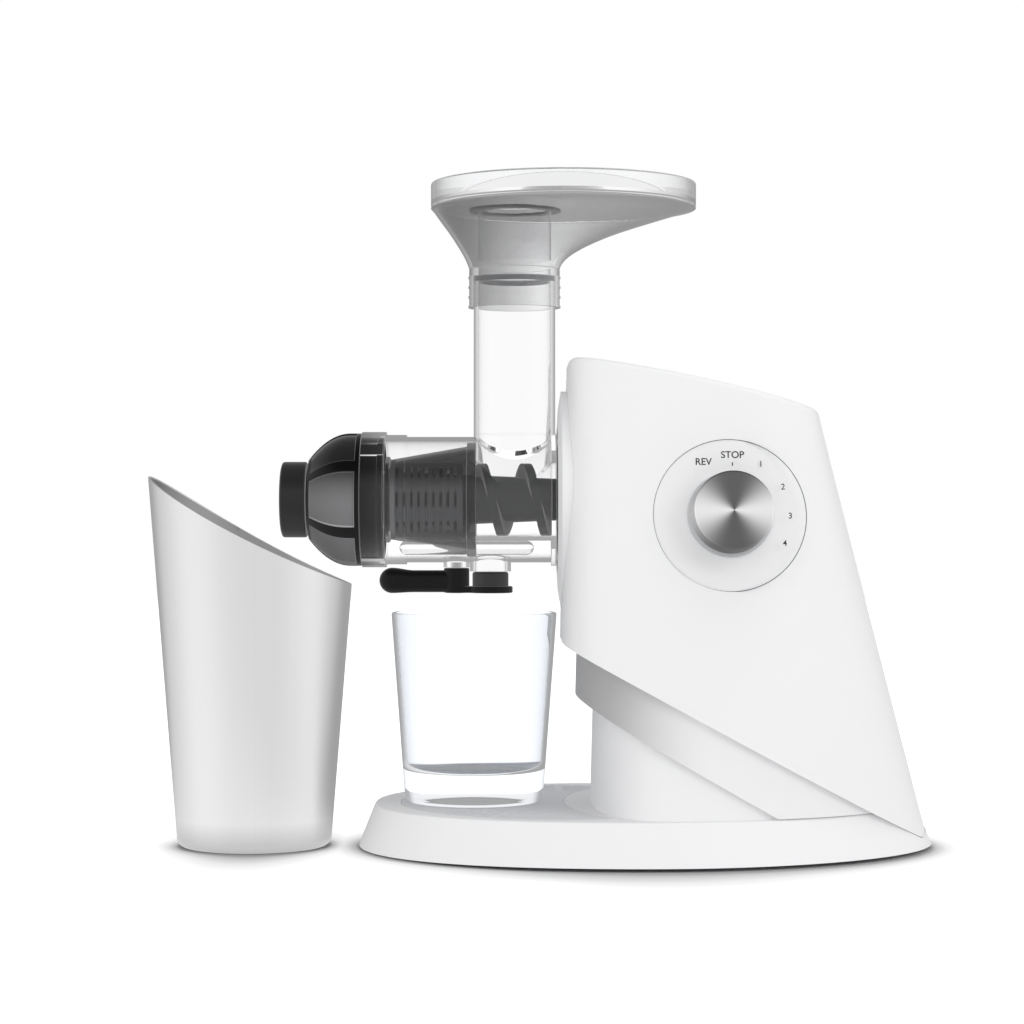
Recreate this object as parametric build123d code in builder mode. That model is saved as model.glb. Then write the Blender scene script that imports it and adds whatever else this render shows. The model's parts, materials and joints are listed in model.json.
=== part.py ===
from build123d import *
from math import acos, atan2, copysign, cos, degrees, pi, radians, sin, sqrt, tan
import os

os.makedirs("parts", exist_ok=True)

# ---------------------------------------------------------------------------
# Driving dimensions, in millimetres.
# X runs along the drum (the pulp end is -X), -Y is the knob side, Z is up from
# the table. The origin is on the table, under the middle of the whole machine
# with its two containers.
# ---------------------------------------------------------------------------

# Base: a low dish whose wall leans in, blunt under the glass, pointed behind
BASE_HALF_LENGTH = 156.8
BASE_HALF_DEPTH = 111.5
BASE_LEAN_LENGTH = 8.8
BASE_LEAN_DEPTH = 10.5
BASE_FOOT_GAP = 1.8
BASE_TOP_Z = 24.0
BASE_WALL = 2.8
BASE_EDGE_RADIUS = 2.0
BASE_BLUNT_FRONT = 2.4
BASE_BLUNT_REAR = 1.87
PLATE_THICKNESS = 2.4
OUTLINE_POINTS = 32

# Pulp cup: where it stands and its slanted rim, whose lip is turned a little to the user
CUP_DISTANCE = 214.8
CUP_TWIST = 4.5
CUP_BOTTOM_RADIUS = 42.0
CUP_FLARE = 0.0794
CUP_WALL = 1.0
CUP_TIP_Z = 202.5
CUP_MIDDLE_Z = 167.5
CUP_LIP_Z = 143.5
CUP_FOOT_ROUND = 5.0
CUP_CUT_MARGIN = 6.0
CUP_REACH = CUP_DISTANCE + CUP_BOTTOM_RADIUS + CUP_FLARE * CUP_TIP_Z

# The base's middle, set so that base and cup together stand around the origin
BASE_X = (CUP_REACH - BASE_HALF_LENGTH) / 2
CUP_X = BASE_X - CUP_DISTANCE

# Body: the form that the cowl, the inner body and the pedestal share, from the
# table up to a height above the cowl
BODY_LOFT_HEIGHT = 270.0
BODY_FRONT_X = BASE_X - 48.8
BODY_FRONT_LEAN = 0.0235
BODY_MIDDLE_X = BASE_X + 10.0
BODY_REAR_X = BASE_X + 155.7
BODY_REAR_LEAN = 0.262
BODY_HALF_WIDTH = 105.5
BODY_SIDE_LEAN = 0.172
BODY_BLUNT_REAR_LOW = 1.9
BODY_BLUNT_REAR_HIGH = 4.5

COWL_WALL = 3.0
COWL_BLUNT_FRONT = 6.0
COWL_TOP_FRONT_Z = 267.5
COWL_TOP_MIDDLE_Z = 254.5
COWL_TOP_REAR_Z = 235.0
COWL_TOP_REAR_X = BASE_X + 96.0
COWL_TOP_MIDDLE_X = BASE_X + 26.5
COWL_EDGE_RADIUS = 3.0
SEAM_FRONT_X = BASE_X - 40.2
SEAM_FRONT_Z = 109.9
SEAM_SLOPE = 0.5434
SEAM_GAP = 0.4

INNER_WALL = 2.5
INNER_SET_BACK = 8.6
INNER_BLUNT_FRONT = 2.4
INNER_DROP = 25.5
INNER_SLOPE = 0.573
INNER_OVERLAP = 30.0
SKIN_GAP = 0.4

PEDESTAL_WALL = 2.5
PEDESTAL_SET_BACK = 18.4
PEDESTAL_BLUNT_FRONT = 2.6
PEDESTAL_OVERLAP = 12.0

# Drum axis and the stack of turned pieces along it
AXIS_Z = 190.0
DRUM_REAR_X = BASE_X - 49.0
DRUM_LENGTH = 82.0
DRUM_RADIUS = 34.5
DRUM_WALL = 2.4
CHAMBER_RADIUS = 20.4
CHAMBER_WALL = 2.2
CHAMBER_LIP = 0.3
SPIGOT_RADIUS = 33.6
SPIGOT_LENGTH = 9.5
SPIGOT_WALL = 3.0
DRUM_FLANGE_RADIUS = 36.4
DRUM_FLANGE_THICKNESS = 2.6
THREAD_RADIUS = 35.6
THREAD_LENGTH = 11.2
COLLAR_RADIUS = 37.2
COLLAR_LENGTH = 13.0
COLLAR_BORE = 34.3

TUBE_X = BASE_X - 71.8
TUBE_RADIUS = 22.4
TUBE_WALL = 2.4
TUBE_TOP_Z = 312.0
TUBE_STUB_HEIGHT = 1.5

SPOUT_X = BASE_X - 85.0
SPOUT_RADIUS = 11.3
SPOUT_BORE = 8.4
SPOUT_BOTTOM_Z = 150.6
PIVOT_X = BASE_X - 103.6
PIVOT_BOSS_RADIUS = 7.2
PIVOT_BOSS_BOTTOM_Z = 152.8
PIVOT_PIN_RADIUS = 2.4

# Spout lever
LEVER_BOTTOM_Z = 138.7
LEVER_THICKNESS = 6.2
LEVER_HANDLE_THICKNESS = 12.6
LEVER_END_X = BASE_X - 146.0
LEVER_BULB_RADIUS = 8.0
LEVER_ARM_WIDTH = 11.0
LEVER_HUB_RADIUS = 7.0
LEVER_DISC_RADIUS = 12.2
SEAL_RADIUS = 9.9
LEVER_LIFT_GAP = 0.3

# Screen round the front half of the auger
SCREEN_RADIUS = 23.0
SCREEN_BORE = 20.9
SCREEN_FLANGE_RADIUS = 31.6
SCREEN_FLANGE_THICKNESS = 2.4
SCREEN_RIM_RADIUS = 29.0
SCREEN_RIM_THICKNESS = 3.4
MESH_THICKNESS = 0.5
MESH_WINDOWS = 8
MESH_SLOTS = 9

# Auger
AUGER_CORE_FRONT = 15.6
AUGER_CORE_REAR = 11.5
AUGER_RADIUS = 19.9
AUGER_TIP_RADIUS = 8.0
AUGER_TIP_LENGTH = 8.0
FLIGHT_PITCH = 24.0
FLIGHT_THICKNESS = 4.6
AUGER_COLLAR_RADIUS = 28.0
AUGER_COLLAR_THICKNESS = 4.0
HEX_ACROSS_FLATS = 14.0
HEX_CLEARANCE = 0.15
AUGER_SEAL_RADIUS = 19.0
AUGER_SEAL_THICKNESS = 2.6

# End cap and pulp nozzle
CAP_RING_RADIUS = 36.4
CAP_RING_LENGTH = 6.0
CAP_SKIRT_RADIUS = 34.0
CAP_SKIRT_LENGTH = 12.4
CAP_WALL = 2.6
CAP_DOME_LENGTH = 23.0
CAP_NOSE_RADIUS = 22.0
CAP_NECK_LENGTH = 0.8
CAP_NECK_RADIUS = 17.6
CAP_PANELS = 6
CAP_PANEL_ANGLE = 50.0
CAP_PANEL_DEPTH = 1.0
CAP_LUGS = 3
CAP_LUG_REACH = 0.9
CAP_LUG_WIDTH = 9.0
CAP_LUG_LENGTH = 3.0
CAP_TURN = 40.0
NOZZLE_RADIUS = 20.8
NOZZLE_LENGTH = 14.0
NOZZLE_BORE = 9.0
NOZZLE_TUBE_RADIUS = 13.0
NOZZLE_TUBE_LENGTH = 9.0
NOZZLE_SEAL_LENGTH = 3.0

# Hopper
HOPPER_RIM_X = BASE_X - 44.9
HOPPER_RIM_RADIUS = 72.8
HOPPER_RIM_Z = 349.8
HOPPER_TOP_Z = 363.6
HOPPER_WALL = 2.2
NECK_RADIUS = 24.9
NECK_BOTTOM_Z = 295.4
NECK_TOP_Z = 316.8
NECK_CLEARANCE = 0.3
NECK_RIB_HEIGHT = 0.9
NECK_RIBS = 4
SKIRT_STEPS = 6
CHUTE_RADIUS = 20.0
CHUTE_WALL = 2.0
CHUTE_BOTTOM_Z = 321.0
HOPPER_SEAL_HEIGHT = 3.0

# Front bezel and the socket that the drum plugs into
BEZEL_RADIUS = 59.4
BEZEL_GAP = 0.3
BEZEL_FRONT_X = BASE_X - 48.4
BEZEL_EDGE_X = BASE_X - 46.4
BEZEL_BACK_X = BASE_X - 40.0
SOCKET_RADIUS = 40.0
SOCKET_FRONT_X = BASE_X - 48.2
SOCKET_BACK_X = BASE_X - 22.0
SOCKET_WEB = 4.0

# Chassis
CHASSIS_THICKNESS = 4.0
CHASSIS_FRONT_HALF_WIDTH = 36.0
CHASSIS_TOP_Z = 232.0
CHASSIS_RAIL_WIDTH = 10.0
CHASSIS_RAIL_HEIGHT = 6.0
CHASSIS_RAIL_Y = 26.0
CHASSIS_HOLE_RADIUS = 20.0
SADDLE_X = BASE_X + 78.0
SADDLE_HALF_WIDTH = 46.0
SADDLE_TOP_Z = 166.0
SEAT_GAP = 0.05

# Gear train: three spur meshes, teeth, modules and face widths
PRESSURE_ANGLE = 25.0
BACKLASH = 0.26
TEETH_PINION = 14
TEETH_FIRST = 50
TEETH_SECOND = 46
TEETH_OUTPUT = 44
MODULE_FIRST = 1.0
MODULE_SECOND = 1.25
MODULE_OUTPUT = 1.5
FACE_FIRST = 7.0
FACE_SECOND = 8.0
FACE_OUTPUT = 12.0
GEAR_SPACE = 2.0
AXLE_RADIUS = 3.0
RUNNING_CLEARANCE = 0.06
SECOND_SHAFT_ANGLE = -110.0
FIRST_SHAFT_ANGLE = -10.0

GEARBOX_WALL = 3.0
GEARBOX_HALF_WIDTH = 52.5
GEARBOX_HALF_HEIGHT = 63.0
GEARBOX_MIDDLE_Y = 1.5
GEARBOX_MIDDLE_Z = 168.0
GEARBOX_CORNER = 16.0
GEARBOX_SCREW_INSET = 9.0
GEARBOX_BOSS_RADIUS = 4.6
GEARBOX_SCREW_RADIUS = 2.0
GEARBOX_SCREW_HEAD_RADIUS = 3.6
GEARBOX_SCREW_HEAD_HEIGHT = 2.4
GEARBOX_SCREW_LENGTH = 14.0

OUTPUT_SHAFT_RADIUS = 8.0
COUPLING_RADIUS = 13.0
COUPLING_LENGTH = 12.4
COUPLING_POCKET = 9.0
BEARING_RADIUS = 14.0
SEAL_THICKNESS = 3.4

# Motor
MOTOR_RADIUS = 38.0
MOTOR_WALL = 2.0
MOTOR_BELL_THICKNESS = 6.0
MOTOR_CAN_LENGTH = 62.0
STATOR_BORE = 25.0
STATOR_LENGTH = 44.0
ROTOR_RADIUS = 24.2
ROTOR_LENGTH = 40.0
MOTOR_SHAFT_RADIUS = 4.0
MOTOR_BEARING_RADIUS = 9.0
CUSHION_THICKNESS = 3.0
CUSHION_LENGTH = 7.0
FAN_RADIUS = 28.0
FAN_LENGTH = 8.0
FAN_BLADES = 7
FAN_HUB_RADIUS = 8.0

# Speed dial and knob; the dial plane leans back and turns a little to the rear
DIAL_X = BASE_X + 40.8
DIAL_Y = -71.9
DIAL_Z = 181.5
DIAL_RADIUS = 40.4
DIAL_LEAN = 9.0
DIAL_YAW = 3.0
DIAL_BOSS_WALL = 2.6
DIAL_BOSS_MARGIN = 3.0
KNOB_RADIUS = 20.8
KNOB_HEIGHT = 15.6
KNOB_RING_RADIUS = 22.3
KNOB_RING_HEIGHT = 2.0
KNOB_LIFT = 0.4
KNOB_WALL = 2.0
SWITCH_SHAFT_RADIUS = 3.0
SWITCH_BUSH_RADIUS = 4.6
SWITCH_SIZE = 26.0
SWITCH_DEPTH = 14.0
SWITCH_NUT_ACROSS = 14.0
SWITCH_NUT_HEIGHT = 2.4
SWITCH_POCKET_RADIUS = 18.5

# Control board
BOARD_LENGTH = 50.0
BOARD_HALF_WIDTH = 28.0
BOARD_THICKNESS = 1.6
BOARD_GAP = 0.3

# Drip tray
TRAY_X = BASE_X - 46.0
TRAY_RADIUS = 88.0
TRAY_THICKNESS = 2.4
TRAY_CLEARANCE = 0.4
TRAY_NOTCH_X = BASE_X + 102.0
TRAY_NOTCH_RADIUS = 147.0
TRAY_LEDGE = 2.6
TRAY_POOL_DEPTH = 3.6
TRAY_POOL_FLOOR = 2.4
TRAY_TIP_RADIUS = 3.0
TRAY_SLOT_WIDTH = 2.2
TRAY_SLOT_ROWS = 4
TRAY_SLOT_STEP = 6.5
TRAY_SLOT_ARC = 27.0
TRAY_SLOTS_PER_ROW = 2

# Juice glass
GLASS_X = BASE_X - 94.0
GLASS_BOTTOM_RADIUS = 37.8
GLASS_TOP_RADIUS = 45.5
GLASS_BOTTOM_Z = BASE_TOP_Z + 0.3
GLASS_TOP_Z = 128.2
GLASS_WALL = 2.4
GLASS_BASE = 17.0
GLASS_ROUND = 3.0

# Feet, bottom screws, cord gland
FOOT_RADIUS = 9.0
FOOT_RECESS = 1.2
FOOT_X = 100.0
FOOT_Y = 60.0
SCREW_RADIUS = 1.6
SCREW_HEAD_RADIUS = 3.0
SCREW_HEAD_HEIGHT = 1.6
SCREW_LENGTH = 10.0
BOSS_RADIUS = 4.2
BOSS_PAIRS = ((15.0, 88.0), (85.0, 56.0))
BOSS_SINGLES = (-140.0, 104.0)
VENT_WIDTH = 2.4
VENT_LENGTH = 36.0
VENT_STEP = 6.0
VENTS = 7
GLAND_X = BASE_X + 62.0
GLAND_Z = 13.0
GLAND_RADIUS = 5.2
GLAND_BORE = 3.4
GLAND_FLANGE_RADIUS = 7.4
GLAND_FLANGE = 2.0
GLAND_DEPTH = 22.0

# ---------------------------------------------------------------------------
# Places worked out from the dimensions
# ---------------------------------------------------------------------------

DRUM_AXIS = Axis((0, 0, AXIS_Z), (1, 0, 0))
DRUM_SIDE = Plane(origin=(0, 0, AXIS_Z), x_dir=(1, 0, 0), z_dir=(0, -1, 0))
SIDE = Plane.XZ

DRUM_FRONT_X = DRUM_REAR_X - DRUM_LENGTH
THREAD_FRONT_X = DRUM_FRONT_X - THREAD_LENGTH
COLLAR_FRONT_X = THREAD_FRONT_X - COLLAR_LENGTH
CHAMBER_FRONT_X = TUBE_X - TUBE_RADIUS - CHAMBER_LIP
DRUM_BORE = DRUM_RADIUS - DRUM_WALL
COUPLING_FRONT_X = DRUM_REAR_X + SPIGOT_LENGTH + SKIN_GAP
PLATE_BOTTOM_Z = BASE_FOOT_GAP

CASE_FRONT_X = SOCKET_BACK_X + CHASSIS_THICKNESS
CASE_INSIDE_FRONT_X = CASE_FRONT_X + GEARBOX_WALL
OUTPUT_GEAR_X = CASE_INSIDE_FRONT_X + GEAR_SPACE / 2
SECOND_GEAR_X = OUTPUT_GEAR_X + FACE_OUTPUT + GEAR_SPACE
FIRST_GEAR_X = SECOND_GEAR_X + FACE_SECOND + GEAR_SPACE
CASE_INSIDE_REAR_X = FIRST_GEAR_X + FACE_FIRST + GEAR_SPACE
CASE_REAR_X = CASE_INSIDE_REAR_X + GEARBOX_WALL

MESH_OUTPUT = MODULE_OUTPUT * (TEETH_PINION + TEETH_OUTPUT) / 2
MESH_SECOND = MODULE_SECOND * (TEETH_PINION + TEETH_SECOND) / 2
MESH_FIRST = MODULE_FIRST * (TEETH_PINION + TEETH_FIRST) / 2
SECOND_Y = MESH_OUTPUT * cos(radians(SECOND_SHAFT_ANGLE))
SECOND_Z = AXIS_Z + MESH_OUTPUT * sin(radians(SECOND_SHAFT_ANGLE))
FIRST_Y = SECOND_Y + MESH_SECOND * cos(radians(FIRST_SHAFT_ANGLE))
FIRST_Z = SECOND_Z + MESH_SECOND * sin(radians(FIRST_SHAFT_ANGLE))
MOTOR_Z = FIRST_Z - sqrt(MESH_FIRST**2 - FIRST_Y**2)
MOTOR_ANGLE = degrees(atan2(MOTOR_Z - FIRST_Z, -FIRST_Y))

BELL_FRONT_X = CASE_REAR_X + SKIN_GAP
CAN_FRONT_X = BELL_FRONT_X + MOTOR_BELL_THICKNESS
CAN_REAR_X = CAN_FRONT_X + MOTOR_CAN_LENGTH
BELL_REAR_X = CAN_REAR_X + MOTOR_BELL_THICKNESS
FAN_X = BELL_REAR_X + 2.0


def body_front_x(z):
    return BODY_FRONT_X + BODY_FRONT_LEAN * z


def body_rear_x(z):
    return BODY_REAR_X - BODY_REAR_LEAN * z


def body_half_width(z):
    return BODY_HALF_WIDTH - BODY_SIDE_LEAN * z


def base_half_length(z):
    return BASE_HALF_LENGTH - BASE_LEAN_LENGTH * (z - BASE_FOOT_GAP) / (BASE_TOP_Z - BASE_FOOT_GAP)


def base_half_depth(z):
    return BASE_HALF_DEPTH - BASE_LEAN_DEPTH * (z - BASE_FOOT_GAP) / (BASE_TOP_Z - BASE_FOOT_GAP)


def seam_z(x):
    return SEAM_FRONT_Z - SEAM_SLOPE * (x - SEAM_FRONT_X)


def inner_edge_z(x):
    return SEAM_FRONT_Z - INNER_DROP - INNER_SLOPE * (x - SEAM_FRONT_X)


def rounded_plan(front_x, rear_x, middle_x, half_width, blunt_front, blunt_rear):
    """Points of an egg-shaped plan: two half superellipses that meet at middle_x."""
    points = []
    for step in range(OUTLINE_POINTS):
        angle = 2 * pi * step / OUTLINE_POINTS
        along, across = cos(angle), sin(angle)
        blunt = blunt_rear if along > 0 else blunt_front
        reach = rear_x - middle_x if along > 0 else middle_x - front_x
        x = middle_x + reach * copysign(abs(along) ** (2 / blunt), along)
        y = half_width * copysign(abs(across) ** (2 / blunt), across)
        points.append((x, y))
    return points


def plan_face(plane, points):
    """A flat face inside a smooth closed curve through the points."""
    with BuildSketch(plane) as outline:
        with BuildLine():
            Spline(*points, periodic=True)
        make_face()
    return outline.sketch


def body_form(inset, set_back, blunt_front, mode=Mode.ADD):
    """The body's leaning form, smaller by inset all round and by set_back in front."""
    sections = []
    for z, blunt_rear in ((0, BODY_BLUNT_REAR_LOW), (BODY_LOFT_HEIGHT, BODY_BLUNT_REAR_HIGH)):
        points = rounded_plan(
            body_front_x(z) + set_back,
            body_rear_x(z) - inset,
            BODY_MIDDLE_X,
            body_half_width(z) - inset,
            blunt_front,
            blunt_rear,
        )
        sections.append(plan_face(Plane.XY.offset(z), points))
    loft(sections, ruled=True, mode=mode)


def base_form(inset, bottom_z, top_z, mode=Mode.ADD):
    """The base's dish between two heights, smaller by inset all round."""
    sections = []
    for z in (bottom_z, top_z):
        half_length = base_half_length(z) - inset
        points = rounded_plan(
            BASE_X - half_length,
            BASE_X + half_length,
            BASE_X,
            base_half_depth(z) - inset,
            BASE_BLUNT_FRONT,
            BASE_BLUNT_REAR,
        )
        sections.append(plan_face(Plane.XY.offset(z), points))
    loft(sections, ruled=True, mode=mode)


def side_slab(points, mode=Mode.INTERSECT):
    """A slab across the whole width, from a closed outline in the side view."""
    with BuildSketch(SIDE) as outline:
        with BuildLine():
            Polyline(*points, close=True)
        make_face()
    extrude(outline.sketch, amount=BASE_HALF_DEPTH * 1.5, both=True, mode=mode)


def cowl_slab(drop, seam_drop, mode=Mode.INTERSECT):
    """The cowl's side view: under its bowed top, above the slanted seam."""
    front_x = BODY_FRONT_X - 10
    rear_x = BODY_REAR_X + 10
    rise = (COWL_TOP_FRONT_Z - COWL_TOP_MIDDLE_Z) / (COWL_TOP_MIDDLE_X - BODY_FRONT_X)
    fall = (COWL_TOP_MIDDLE_Z - COWL_TOP_REAR_Z) / (COWL_TOP_REAR_X - COWL_TOP_MIDDLE_X)
    top_front = (front_x, COWL_TOP_FRONT_Z + rise * 4 - drop)
    top_middle = (COWL_TOP_MIDDLE_X, COWL_TOP_MIDDLE_Z - drop)
    top_rear = (rear_x, COWL_TOP_REAR_Z - fall * (rear_x - COWL_TOP_REAR_X) * 1.2 - drop)
    with BuildSketch(SIDE) as outline:
        with BuildLine():
            ThreePointArc(top_front, top_middle, top_rear)
            Polyline(
                top_rear,
                (rear_x, seam_z(rear_x) - seam_drop),
                (front_x, seam_z(front_x) - seam_drop),
                top_front,
            )
        make_face()
    extrude(outline.sketch, amount=BASE_HALF_DEPTH * 1.5, both=True, mode=mode)


def turned(points, mode=Mode.ADD):
    """A piece turned about the drum axis, from a closed outline of x and radius."""
    with BuildSketch(DRUM_SIDE) as outline:
        with BuildLine():
            Polyline(*points, close=True)
        make_face()
    revolve(outline.sketch, axis=DRUM_AXIS, mode=mode)


def sleeve(start_x, end_x, radius, bore=0.0, y=0.0, z=AXIS_Z, mode=Mode.ADD):
    """A round bar or tube along X."""
    with BuildSketch(along_x(start_x, y, z)) as section:
        Circle(radius)
        if bore > 0:
            Circle(bore, mode=Mode.SUBTRACT)
    extrude(section.sketch, amount=end_x - start_x, mode=mode)


def along_x(x, y=0.0, z=AXIS_Z):
    """A plane square to X, whose own x is +Y and whose own y is +Z."""
    return Plane(origin=(x, y, z), x_dir=(0, 1, 0), z_dir=(1, 0, 0))


def upright(points, x, mode=Mode.ADD):
    """A piece turned about a vertical axis at x, from an outline of radius and height."""
    with BuildSketch(Plane(origin=(x, 0, 0), x_dir=(1, 0, 0), z_dir=(0, -1, 0))) as outline:
        with BuildLine():
            Polyline(*points, close=True)
        make_face()
    revolve(outline.sketch, axis=Axis((x, 0, 0), (0, 0, 1)), mode=mode)


def post(x, y, bottom_z, top_z, radius, bore=0.0, mode=Mode.ADD):
    """A vertical round bar or tube."""
    with BuildSketch(Plane(origin=(x, y, bottom_z), z_dir=(0, 0, 1))) as section:
        Circle(radius)
        if bore > 0:
            Circle(bore, mode=Mode.SUBTRACT)
    extrude(section.sketch, amount=top_z - bottom_z, mode=mode)


def save(piece, name):
    piece.part.label = name
    export_step(piece.part, f"parts/{name}.step")


# ---------------------------------------------------------------------------
# Base, pedestal and what stands under them
# ---------------------------------------------------------------------------


def tray_slab(margin, bottom_z, top_z, mode=Mode.ADD):
    """A slab of the tray's plan: a disc with a hollow bite where the pedestal stands."""
    with BuildSketch(Plane.XY.offset(bottom_z)) as outline:
        with Locations((TRAY_X, 0)):
            Circle(TRAY_RADIUS + margin)
        with Locations((TRAY_NOTCH_X, 0)):
            Circle(TRAY_NOTCH_RADIUS - margin, mode=Mode.SUBTRACT)
        fillet(outline.vertices(), TRAY_TIP_RADIUS + TRAY_LEDGE + margin)
    extrude(outline.sketch, amount=top_z - bottom_z, mode=mode)


TRAY_SEAT_Z = BASE_TOP_Z - TRAY_THICKNESS
POOL_FLOOR_Z = TRAY_SEAT_Z - TRAY_POOL_DEPTH
DECK_BOTTOM_Z = BASE_TOP_Z - BASE_WALL
FOOT_PLACES = [(BASE_X + side * FOOT_X, y) for side in (-1, 1) for y in (-FOOT_Y, FOOT_Y)]
BOSS_PLACES = [(BASE_X + x, side * y) for x, y in BOSS_PAIRS for side in (-1, 1)]
BOSS_PLACES += [(BASE_X + x, 0.0) for x in BOSS_SINGLES]

GLAND_REACH = (GLAND_X - BASE_X) / base_half_length(GLAND_Z)
GLAND_WALL_Y = base_half_depth(GLAND_Z) * (1 - GLAND_REACH**BASE_BLUNT_REAR) ** (1 / BASE_BLUNT_REAR)
GLAND_INSIDE_Y = GLAND_WALL_Y - GLAND_DEPTH
GLAND_OUTSIDE_Y = GLAND_WALL_Y + GLAND_FLANGE


def gland_bar(start_y, end_y, radius, bore=0.0, mode=Mode.ADD):
    """A round bar or tube along Y through the base's far wall."""
    with BuildSketch(Plane(origin=(GLAND_X, start_y, GLAND_Z), x_dir=(-1, 0, 0), z_dir=(0, 1, 0))) as section:
        Circle(radius)
        if bore > 0:
            Circle(bore, mode=Mode.SUBTRACT)
    extrude(section.sketch, amount=end_y - start_y, mode=mode)


with BuildPart() as pedestal:
    body_form(COWL_WALL + INNER_WALL + 2 * SKIN_GAP, PEDESTAL_SET_BACK, PEDESTAL_BLUNT_FRONT)
    body_form(
        COWL_WALL + INNER_WALL + 2 * SKIN_GAP + PEDESTAL_WALL,
        PEDESTAL_SET_BACK + PEDESTAL_WALL,
        PEDESTAL_BLUNT_FRONT,
        mode=Mode.SUBTRACT,
    )
    side_slab(
        [
            (BODY_FRONT_X, BASE_TOP_Z),
            (BODY_REAR_X, BASE_TOP_Z),
            (BODY_REAR_X, BASE_TOP_Z + 1),
            (BODY_FRONT_X, inner_edge_z(BODY_FRONT_X) + PEDESTAL_OVERLAP),
        ]
    )
save(pedestal, "pedestal")

with BuildPart() as cowl_envelope:
    body_form(-SEAM_GAP, -SEAM_GAP, COWL_BLUNT_FRONT)
    cowl_slab(0, SEAM_GAP)

with BuildPart() as base_shell:
    base_form(0, BASE_FOOT_GAP, BASE_TOP_Z)
    fillet(base_shell.edges().group_by(Axis.Z)[-1], BASE_EDGE_RADIUS)
    base_form(BASE_WALL, BASE_FOOT_GAP, DECK_BOTTOM_Z, mode=Mode.SUBTRACT)
    tray_slab(TRAY_CLEARANCE + BASE_WALL, POOL_FLOOR_Z - TRAY_POOL_FLOOR, DECK_BOTTOM_Z)
    tray_slab(TRAY_CLEARANCE, TRAY_SEAT_Z, BASE_TOP_Z, mode=Mode.SUBTRACT)
    tray_slab(-TRAY_LEDGE, POOL_FLOOR_Z, BASE_TOP_Z, mode=Mode.SUBTRACT)
    for boss_x, boss_y in BOSS_PLACES:
        post(boss_x, boss_y, PLATE_BOTTOM_Z + PLATE_THICKNESS, DECK_BOTTOM_Z, BOSS_RADIUS)
    add(cowl_envelope.part, mode=Mode.SUBTRACT)
    gland_bar(GLAND_INSIDE_Y - 1, GLAND_OUTSIDE_Y, GLAND_RADIUS + SEAT_GAP, mode=Mode.SUBTRACT)
    gland_bar(GLAND_WALL_Y - 6, GLAND_OUTSIDE_Y, GLAND_FLANGE_RADIUS + SKIN_GAP, mode=Mode.SUBTRACT)
    for boss_x, boss_y in BOSS_PLACES:
        post(boss_x, boss_y, PLATE_BOTTOM_Z, PLATE_BOTTOM_Z + SCREW_LENGTH, SCREW_RADIUS, mode=Mode.SUBTRACT)
save(base_shell, "base_shell")

with BuildPart() as base_bottom_plate:
    base_form(BASE_WALL + SKIN_GAP, PLATE_BOTTOM_Z, PLATE_BOTTOM_Z + PLATE_THICKNESS)
    with BuildSketch(Plane.XY.offset(PLATE_BOTTOM_Z)) as vents:
        with Locations((SADDLE_X - MOTOR_RADIUS, 0)):
            with GridLocations(VENT_STEP, 1, VENTS, 1):
                SlotOverall(VENT_LENGTH, VENT_WIDTH, rotation=90)
    extrude(vents.sketch, amount=PLATE_THICKNESS, mode=Mode.SUBTRACT)
    for foot_x, foot_y in FOOT_PLACES:
        post(foot_x, foot_y, PLATE_BOTTOM_Z, PLATE_BOTTOM_Z + FOOT_RECESS, FOOT_RADIUS + SEAT_GAP, mode=Mode.SUBTRACT)
    for boss_x, boss_y in BOSS_PLACES:
        head_top = PLATE_BOTTOM_Z + SCREW_HEAD_HEIGHT
        post(boss_x, boss_y, PLATE_BOTTOM_Z, head_top, SCREW_HEAD_RADIUS + SEAT_GAP, mode=Mode.SUBTRACT)
        post(boss_x, boss_y, head_top, head_top + PLATE_THICKNESS, SCREW_RADIUS + SEAT_GAP, mode=Mode.SUBTRACT)
save(base_bottom_plate, "base_bottom_plate")

with BuildPart() as rubber_feet:
    for foot_x, foot_y in FOOT_PLACES:
        post(foot_x, foot_y, 0, PLATE_BOTTOM_Z + FOOT_RECESS, FOOT_RADIUS)
    chamfer(rubber_feet.edges().group_by(Axis.Z)[0], BASE_FOOT_GAP / 3)
save(rubber_feet, "rubber_feet")

with BuildPart() as base_screws:
    for boss_x, boss_y in BOSS_PLACES:
        head_top = PLATE_BOTTOM_Z + SCREW_HEAD_HEIGHT
        post(boss_x, boss_y, PLATE_BOTTOM_Z, head_top, SCREW_HEAD_RADIUS)
        post(boss_x, boss_y, head_top, PLATE_BOTTOM_Z + SCREW_LENGTH - 1, SCREW_RADIUS - SEAT_GAP)
save(base_screws, "base_screws")

with BuildPart() as drip_tray:
    tray_slab(0, TRAY_SEAT_Z, BASE_TOP_Z)
    with BuildSketch(Plane.XY.offset(TRAY_SEAT_Z)) as slots:
        for row in range(TRAY_SLOT_ROWS):
            slot_radius = TRAY_RADIUS - TRAY_LEDGE - TRAY_SLOT_STEP * (row + 1)
            for slot in range(-TRAY_SLOTS_PER_ROW, TRAY_SLOTS_PER_ROW):
                for side in (-1, 1):
                    start = side * 90 + TRAY_SLOT_ARC * (slot + 0.5) - TRAY_SLOT_ARC * 0.4
                    with Locations((TRAY_X, 0)):
                        with BuildLine(mode=Mode.PRIVATE) as slot_path:
                            CenterArc((0, 0), slot_radius, start, TRAY_SLOT_ARC * 0.8)
                        SlotArc(slot_path.edge(), TRAY_SLOT_WIDTH)
    extrude(slots.sketch, amount=TRAY_THICKNESS, mode=Mode.SUBTRACT)
save(drip_tray, "drip_tray")

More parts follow.
